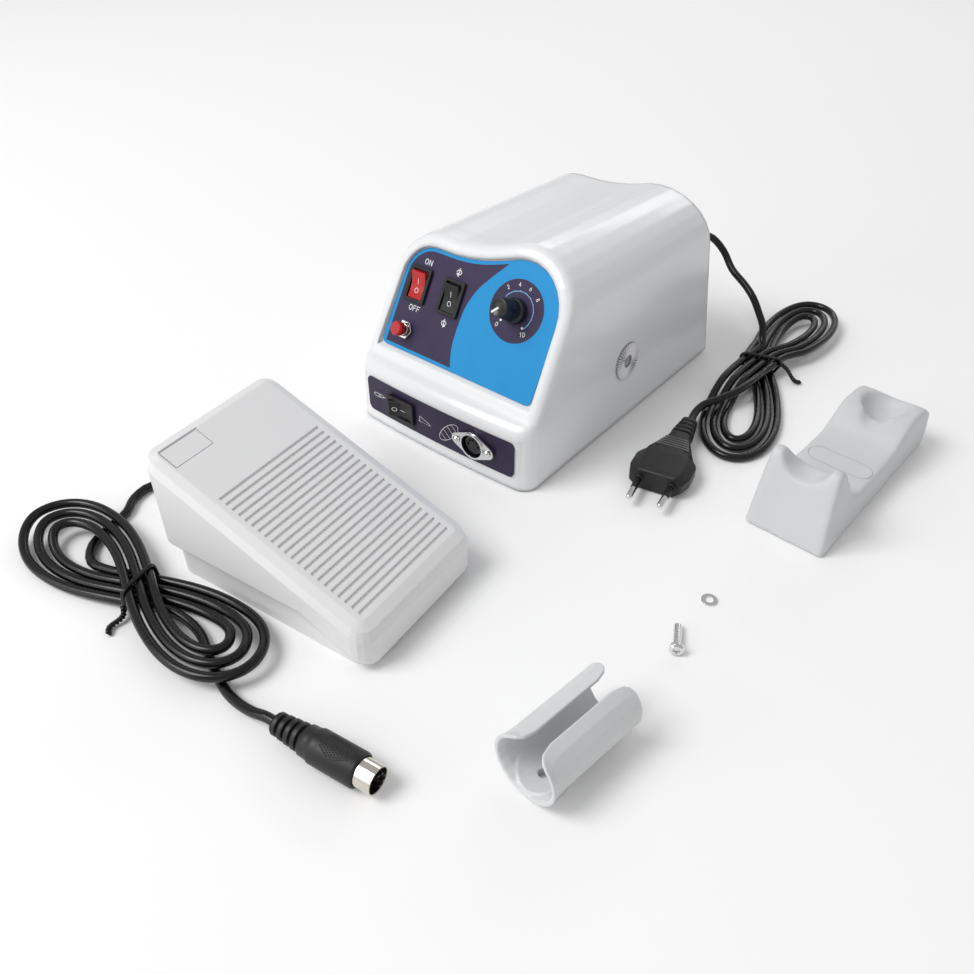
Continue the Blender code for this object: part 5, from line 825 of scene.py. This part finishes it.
def chin_marks():
    """A handpiece outline, a pedal outline and a striped oval."""
    hand = [(-48.6, 21.0), (-43.6, 21.6), (-42.2, 22.2), (-42.2, 23.2), (-43.6, 23.6),
            (-48.6, 23.4), (-50.2, 22.8), (-50.2, 21.6)]
    pedal = [(-12.0, 19.2), (-4.2, 19.2), (-4.2, 20.2), (-12.0, 22.8)]
    cx, cy, rx, ry = 10.5, 21.2, 9.6, 3.7
    turn = radians(47)
    shapes = [drawn(hand, 0.0003, True), drawn([(-42.2, 22.7), (-40.4, 22.7)], 0.0004),
              drawn([(-46.0, 21.5), (-46.0, 23.4)], 0.00026),
              drawn([(-44.8, 21.6), (-44.8, 23.4)], 0.00026),
              drawn(pedal, 0.0003, True), drawn([(-13.2, 19.2), (-3.2, 19.2)], 0.0003),
              drawn(ellipse(cx, cy, rx, ry, 40, turn), 0.00028, True)]
    for share in (-0.62, -0.22, 0.22, 0.62):
        half = ry * sqrt(1 - share * share)
        shapes.append(drawn([turned(cx, cy, turn, rx * share, -half),
                             turned(cx, cy, turn, rx * share, half)], 0.00024))
    return shapes


draped("panel_print", panel_marks(), PANEL, "panel_overlay", INK_LIFT, "white_ink")
draped("speed_arc", speed_arc(), PANEL, "panel_overlay", INK_LIFT, "blue_ink")
draped("chin_print", chin_marks(), CHIN, "chin_overlay", INK_LIFT, "white_ink")

POWER = placed(PANEL, -0.0408, 0.0394)
DIRECTION = placed(PANEL, -0.0157, 0.0392)
SOURCE = frame_at((0, 0, -1), (1, 0, 0), (0, -1, 0), (-0.10383, -0.03129, 0.021))
for name, at in (("power", POWER), ("direction", DIRECTION), ("source", SOURCE)):
    marks = writing("I", 0, 0.0017, 0.003, 0.0003)
    marks.append(drawn(ellipse(0, -3.6, 1.2, 1.4), 0.0003, True))
    draped(name + "_marks", marks, at, name + "_rocker", 7e-5, "white_ink",
           body=name + "_rocker_body")


# Side rosette, with a painted highlight on its ridges and painted shade beneath them, and reset
# bush
SIDE_SLOPE = 0.003
SIDE_TOP = 0.0895
ROSETTE_Z = 0.042
RIDGES = 40
side_x = 0.132 - SIDE_SLOPE * (ROSETTE_Z - 0.0015) / (SIDE_TOP - 0.0015)
SIDE = (Matrix.Translation(Vector((side_x, 0.1005, ROSETTE_Z)) - SHIFT)
        @ Matrix.Rotation(pi / 2, 4, "Y")
        @ Matrix.Rotation(-atan2(SIDE_SLOPE, SIDE_TOP), 4, "Y"))


def rosette_ridges():
    """Fine radial ridges over the teeth of the side boss."""
    shapes = []
    low = Vector((0, 0, 0.0007))
    top = Vector((0, 0, 0.0015))
    for k in range(RIDGES):
        angle = 2 * pi * k / RIDGES
        way = Vector((cos(angle), sin(angle), 0))
        side = Vector((-way.y, way.x, 0)) * 0.00022
        inner = way * 0.004
        outer = way * 0.0118
        verts = [inner - side * 1.6 + low, inner + side * 1.6 + low, outer + side * 2.2 + low,
                 outer - side * 2.2 + low, inner + way * 0.0003 + top, outer - way * 0.0003 + top]
        shapes.append((verts, [(0, 4, 5, 3), (1, 2, 5, 4), (0, 1, 4), (2, 3, 5)]))
    return joined(shapes)


# The ridges take a colour lighter than the shell: painted highlight
mesh_piece("rosette_ridges", rosette_ridges(), "ridge", SIDE)
# A dark ring under the ridges: painted shade in the valleys between them
mesh_piece("rosette_painted_shade_ring", lathe([(0.0029, 0.0001), (0.0031, 0.00096), (0.0118, 0.00096),
                                  (0.012, 0.0006)], 64), "rosette_painted_shade", SIDE)
mesh_piece("reset_bush", lathe([(0.0034, 0.002), (0.0036, 0.0022), (0.0036, 0.0029),
                                (0.0034, 0.0031), (0.0022, 0.0031), (0.0022, 0.0024)], 40),
           "steel", placed(PANEL, -0.0407, 0.012), True)


# Knob
KNOB = placed(PANEL, DIAL_X / 1000, DIAL_Y / 1000)
KNOB_STEPS = 128
FLUTES = 32
FLUTE_DEPTH = 0.00022
SKIRT = [(0, 0.0136), (0.0032, 0.0136), (0.0032, 0.005), (0.0062, 0.005), (0.0062, 0.001),
         (0.007, 0.001), (0.0072, 0.0013), (0.0072, 0.0037), (0.0069, 0.0045),
         (0.00635, 0.0049), (0.00605, 0.0052)]
FLUTED = [(0.00598, 0.0058), (0.00584, 0.008), (0.0057, 0.0105), (0.00556, 0.013),
          (0.00543, 0.0155), (0.00533, 0.0169)]
CAP = [(0.0052, 0.0175), (0.0049, 0.01785), (0.0045, 0.01795), (0.0044, 0.01785), (0, 0.01785)]


def flute(k, angle):
    if len(SKIRT) <= k < len(SKIRT + FLUTED):
        return FLUTE_DEPTH * (0.5 - 0.5 * cos(angle * FLUTES)) ** 0.8
    return 0


def soft_edges(made, angle):
    """Smooth faces with their real corners kept sharp."""
    for face in made.data.polygons:
        face.use_smooth = True
    made.data.set_sharp_from_angle(angle=radians(angle))


knob = mesh_piece("knob_body", lathe(SKIRT + FLUTED + CAP, KNOB_STEPS, flute), "knob",
                  KNOB, body="speed_knob_body")
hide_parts("speed_knob")
soft_edges(knob, 50)
bar = [(-0.00055, 0.0001), (0.00055, 0.0001), (0.00055, 0.005), (-0.00055, 0.005)]
mesh_piece("knob_pointer", ([(x, y, z) for z in (0.01787, 0.01806) for x, y in bar],
                            [(0, 1, 2, 3), (4, 7, 6, 5), (0, 4, 5, 1), (1, 5, 6, 2),
                             (2, 6, 7, 3), (3, 7, 4, 0)]),
           "white_ink", at=KNOB @ Matrix.Rotation(radians(135), 4, "Z"),
           body="speed_knob_body")


# Round socket
SOCKET_TOP = 0.0003
SOCKET_FACE = 0.0054
SOCKET_WALL = 0.0073 - 5e-5
SOCKET_GRID = 26
PIN_CIRCLE = 0.0034
HOLE = 0.0008


def socket_insulator():
    """Black face of the socket with its pin holes, and the lining round it."""
    top = SOCKET_TOP
    shapes = [lathe([(SOCKET_WALL, 0.0019), (SOCKET_WALL, -0.0069), (0.00565, -0.0069),
                     (0.00565, top - 0.0003), (SOCKET_FACE, top)], 48)]
    verts = []
    faces = []
    spots = [(PIN_CIRCLE * cos(pi / 2 + k * radians(45)),
              PIN_CIRCLE * sin(pi / 2 + k * radians(45))) for k in range(-2, 3)]
    for i in range(-SOCKET_GRID, SOCKET_GRID):
        for j in range(-SOCKET_GRID, SOCKET_GRID):
            quad = [(SOCKET_FACE * (i + a) / SOCKET_GRID, SOCKET_FACE * (j + b) / SOCKET_GRID)
                    for a, b in ((0, 0), (1, 0), (1, 1), (0, 1))]
            middle = (sum(q[0] for q in quad) / 4, sum(q[1] for q in quad) / 4)
            if hypot(*middle) > SOCKET_FACE * 0.99:
                continue
            if any(hypot(middle[0] - x, middle[1] - y) < HOLE for x, y in spots):
                continue
            start = len(verts)
            verts += [(x, y, top) for x, y in quad]
            faces.append((start, start + 1, start + 2, start + 3))
    shapes.append((verts, faces))
    for x, y in spots:
        tube, walls = lathe([(0.00098, top + 6e-5), (0.00082, top + 0.00012),
                             (0.00074, top), (0.00074, -0.0032), (0, -0.0032)], 16)
        shapes.append(([(x + a, y + b, c) for a, b, c in tube], walls))
    return joined(shapes)


mesh_piece("socket_insulator", socket_insulator(), "socket_black", SOCKET)


# Mains plug
FLAT = Matrix.Translation(FLAT_ROOT - SHIFT) @ Matrix.Rotation(FLAT_TURN, 4, "Z")
NECK_START = 0.0225
NECK_END = 0.0385
PLUG_END = 0.0645


def super_ring(along, half, thick, power):
    """Rounded section of a plug, between an ellipse and a box."""
    ring = []
    for k in range(56):
        angle = 2 * pi * (k + 0.5) / 56
        c = cos(angle)
        s = sin(angle)
        ring.append((along, half * copysign(abs(c) ** (2 / power), c),
                     thick * copysign(abs(s) ** (2 / power), s)))
    return ring


def plug_ring(along, half, thick):
    """Flat eight-sided section with thin side edges, of as many points as super_ring's."""
    corners = [(half, -0.38 * thick), (half, 0.38 * thick), (0.7 * half, thick),
               (-0.7 * half, thick), (-half, 0.38 * thick), (-half, -0.38 * thick),
               (-0.7 * half, -thick), (0.7 * half, -thick)]
    ring = []
    for k, count in enumerate((8, 4, 12, 4, 8, 4, 12, 4)):
        a = Vector(corners[k])
        b = Vector(corners[(k + 1) % 8])
        for i in range(count):
            ring.append((along, *a.lerp(b, i / count)))
    return ring[4:] + ring[:4]


def mains_plug():
    """Flat two-pin plug: ribbed relief, a widening neck and a body."""
    rings = [super_ring(0, 0.003, 0.003, 2), super_ring(0.0002, 0.0046, 0.0042, 2.4)]
    for k in range(4):
        start = 0.0004 + k * 0.0042
        half = 0.005 + k * 0.0006
        thick = 0.0047 + k * 0.00025
        for along, grow in ((0, -0.0004), (0.0003, 0.0), (0.0024, 0.0), (0.0027, -0.0004),
                            (0.0028, -0.0013), (0.004, -0.0013)):
            rings.append(super_ring(start + along, half + grow, thick + grow, 2.8))
    for measures in ((0.0174, 0.0062, 0.0053, 3), (0.0178, 0.0067, 0.0056, 3),
                     (NECK_START, 0.0073, 0.0058, 3.2), (NECK_END, 0.0139, 0.0067, 4)):
        rings.append(super_ring(*measures))
    for measures in ((0.039, 0.0143, 0.0067), (0.042, 0.0164, 0.007),
                     (0.0452, 0.0177, 0.007), (0.0562, 0.0177, 0.007),
                     (0.062, 0.0161, 0.007), (0.0637, 0.0154, 0.0069),
                     (PLUG_END, 0.0146, 0.0063)):
        rings.append(plug_ring(*measures))
    return loft(rings)


def neck_lines():
    """Five thin raised bars across the widening neck, above and below."""
    shapes = []
    for k in range(5):
        along = 0.0262 + k * 0.0023
        share = (along - NECK_START) / (NECK_END - NECK_START)
        half = (0.0073 + 0.0066 * share) * 0.8
        for m in (-1, 1):
            low = (0.0058 + 0.0009 * share - 0.0004) * m
            top = (0.0058 + 0.0009 * share + 0.0003) * m
            verts = [(along + wide * a, half * long * b, z)
                     for wide, long, z in ((0.0003, 1, low), (0.0001, 0.97, top))
                     for a, b in ((-1, -1), (1, -1), (1, 1), (-1, 1))]
            shapes.append((verts, [(4, 5, 6, 7), (0, 1, 5, 4), (1, 2, 6, 5), (2, 3, 7, 6),
                                   (3, 0, 4, 7)]))
    return joined(shapes)


plug = mesh_piece("mains_plug", mains_plug(), "rough_mould", FLAT)
soft_edges(plug, 30)
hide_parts("euro_plug")
# The neck bars are drawn in a grey much lighter than the black plug: painted highlight on the bars
plug_lines = mesh_piece("mains_plug_highlight_lines", neck_lines(), "neck_line_highlight", FLAT)
PIN = [(0.0019, 0.0000), (0.0019, 0.0102), (0.00193, 0.0166), (0.00185, 0.0176),
       (0.00158, 0.0184), (0.0011, 0.0189), (0.0005, 0.01905), (0, 0.0191)]
SLEEVE = [(0.002, -0.001), (0.002, 0.0097), (0.00195, 0.01), (0.0018, 0.01)]
COLLAR = [(0.0029, 0.0), (0.0029, 0.0005), (0.0026, 0.0008), (0.0019, 0.0008)]
pin_pieces = []
for side, name in ((1, "left"), (-1, "right")):
    lie = (FLAT @ Matrix.Translation((PLUG_END, side * 0.0095, 0))
           @ Matrix.Rotation(-side * 0.035, 4, "Z") @ Matrix.Rotation(pi / 2, 4, "Y"))
    metal = mesh_piece("pin_metal_" + name, lathe(PIN, 32), "chrome", lie, True)
    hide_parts("euro_pin_" + name)
    sleeve = mesh_piece("pin_sleeve_" + name, lathe(SLEEVE, 32), "mould", lie, True)
    collar = mesh_piece("pin_collar_" + name, lathe(COLLAR, 32), "mould", lie, True)
    pin_pieces += [metal, sleeve, collar]


# Round plug
ROUND = frame_at((0, 0, -1), (-round_way.y, round_way.x, 0), round_way, ROUND_ROOT - SHIFT)
GRIP_LOW = 0.00808
GRIP_TOP = 0.00838


def round_plug():
    """Ribbed relief, stepped shoulder, and a body."""
    profile = [(0, 0), (0.0044, 0), (0.0048, 0.0003)]
    for k in range(4):
        start = 0.0006 + k * 0.0039
        grow = 0.00035 * k
        for r, z in ((0.0039, 0.0), (0.0051, 0.0002), (0.0054, 0.0005), (0.0054, 0.0023),
                     (0.0051, 0.0026), (0.0039, 0.0028), (0.0039, 0.0036)):
            profile.append((r + grow, start + z))
    profile += [(0.0056, 0.0162), (0.0066, 0.0165), (0.0072, 0.0172), (0.0073, 0.02),
                (0.0076, 0.0218), (0.00805, 0.0226), (0.0081, 0.0235), (0.0081, 0.0448),
                (0.0079, 0.0456), (0.0073, 0.046), (0.0069, 0.046), (0.0069, 0.043),
                (0, 0.043)]
    return lathe(profile, 64)


def grip_patch():
    """Small raised lozenges pressed into the side that faces up."""
    verts = []
    faces = []
    for i in range(15):
        for j in range(9):
            odd = i % 2
            along = 0.0262 + i * 0.00115
            angle = radians((j - 4) * 8.2 + 4.1 * odd)
            if hypot((i - 7) / 7.6, (j - 4 + 0.5 * odd) / 4.7) > 1:
                continue
            start = len(verts)
            for da, dz in ((-3.4, 0), (0, -0.0009), (3.4, 0), (0, 0.0009)):
                turn = angle + radians(da)
                verts.append((GRIP_LOW * cos(turn), GRIP_LOW * sin(turn), along + dz))
            verts.append((GRIP_TOP * cos(angle), GRIP_TOP * sin(angle), along))
            for k in range(4):
                faces.append((start + k, start + (k + 1) % 4, start + 4))
    return verts, faces


round_body = mesh_piece("round_plug_body", round_plug(), "mould", ROUND)
soft_edges(round_body, 40)
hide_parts("din_plug_body")
round_grip = mesh_piece("round_plug_grip", grip_patch(), "mould",
                        ROUND @ Matrix.Rotation(pi, 4, "Z"))


# Pedal, stand and frame nodes
PEDAL_TOP = PEDAL @ Matrix.Translation((0, 0, 0.04426)) @ Matrix.Rotation(0.3626, 4, "Y")
LABEL = [(-0.0807, -0.036), (-0.0691, -0.036), (-0.0691, -0.0126), (-0.0807, -0.0126)]
LINE = 0.00022
SPRING_WIRE = 0.0006
SPRING_RADIUS = 0.0055
SPRING_TURNS = 5
SPRING_STEPS = 240
SPRING_FLAT = 12


def spring_piece():
    """Coil under the cover, built at one length on the base; a real one shortens as the cover is
    pressed.
    """
    heights = [v.co.z for v in nodes["return_spring"].data.vertices]
    low = min(heights) + SPRING_WIRE
    high = max(heights) - SPRING_WIRE
    rings = []
    for k in range(SPRING_STEPS + 1):
        angle = 2 * pi * SPRING_TURNS * k / SPRING_STEPS
        share = min(1, max(0, (k - SPRING_FLAT) / (SPRING_STEPS - 2 * SPRING_FLAT)))
        out = Vector((cos(angle), sin(angle), 0))
        spot = out * SPRING_RADIUS + Vector((0, 0, low + (high - low) * share))
        rings.append([spot + out * SPRING_WIRE * cos(a)
                      + Vector((0, 0, SPRING_WIRE)) * sin(a)
                      for a in (2 * pi * i / 10 for i in range(10))])
    at = PEDAL @ Matrix.Translation((-0.015, 0.016, 0))
    made = mesh_piece("pedal_spring", loft(rings), "steel", at, True)
    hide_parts("return_spring")
    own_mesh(made)


draped("pedal_label_line", [ribbon(LABEL, LINE, True)], PEDAL_TOP, "pedal_cover", 5e-5, "dark",
       body="pedal_cover_body")
spring_piece()
# The groove round the stand's slot is drawn as a thin dark line: painted shade in the groove
slot_line = (arc(0.0118, 0.055, 0.0068, 0.0068, 14, 90, 270)
             + arc(0.0352, 0.055, 0.0068, 0.0068, 14, -90, 90))
draped("stand_groove_painted_shade", [ribbon(slot_line, LINE, True)], STAND, "handpiece_stand", 3e-5,
       "groove_shade")

# Voxel size and rounds of smoothing of the moulded loose pieces
SOFTENED = {"handpiece_stand": (0.001, 24), "side_clip": (0.0004, 5)}


def finish_node(name, node):
    """Smooth faces; moulded loose pieces get rounded edges."""
    for face in node.data.polygons:
        face.use_smooth = True
    if name in SOFTENED:
        voxel, rounds = SOFTENED[name]
        remesh = node.modifiers.new("cast", "REMESH")
        remesh.mode = "VOXEL"
        remesh.voxel_size = voxel
        remesh.use_smooth_shade = True
        smooth = node.modifiers.new("soft", "SMOOTH")
        smooth.factor = 0.7
        smooth.iterations = rounds
        return
    node.data.set_sharp_from_angle(angle=radians(32))
    if name not in ("housing_shell", "pedal_cover", "rear_panel"):
        weighted = node.modifiers.new("weighted", "WEIGHTED_NORMAL")
        weighted.keep_sharp = True


for name, node in nodes.items():
    if not node.hide_render:
        finish_node(name, node)


# Floor and light
def make_floor():
    mesh = bpy.data.meshes.new("floor")
    mesh.from_pydata([(-4, -4, 0), (4, -4, 0), (4, 4, 0), (-4, 4, 0)], [], [(0, 1, 2, 3)])
    floor = bpy.data.objects.new("floor", mesh)
    scene.collection.objects.link(floor)
    made = Nodes("floor_white")
    fill(made.shader, {"Base Color": (0.96, 0.96, 0.96, 1), "Roughness": 0.7,
                       "Specular IOR Level": 0.1})
    mesh.materials.append(made.material)


def area(name, place, aim, size, power):
    data = bpy.data.lights.new(name, "AREA")
    data.shape = "RECTANGLE"
    data.size = size[0]
    data.size_y = size[1]
    data.energy = power
    light = bpy.data.objects.new(name, data)
    light.location = place
    light.rotation_euler = (Vector(aim) - Vector(place)).to_track_quat("-Z", "Y").to_euler()
    scene.collection.objects.link(light)


def make_light():
    world = bpy.data.worlds.new("studio")
    scene.world = world
    world.use_nodes = True
    fill(world.node_tree.nodes["Background"], {"Color": (1, 1, 1, 1), "Strength": 0.5})
    area("key", (-1.05, -1.55, 2.35), (0, 0, 0.03), (1.4, 1.4), 50)
    area("front", (-0.9, -1.7, 0.55), (0, 0, 0.05), (1.2, 0.8), 5)
    area("strip", (-0.5, 1.5, 0.9), (0, 0, 0.03), (1.6, 0.2), 3)


make_floor()
make_light()
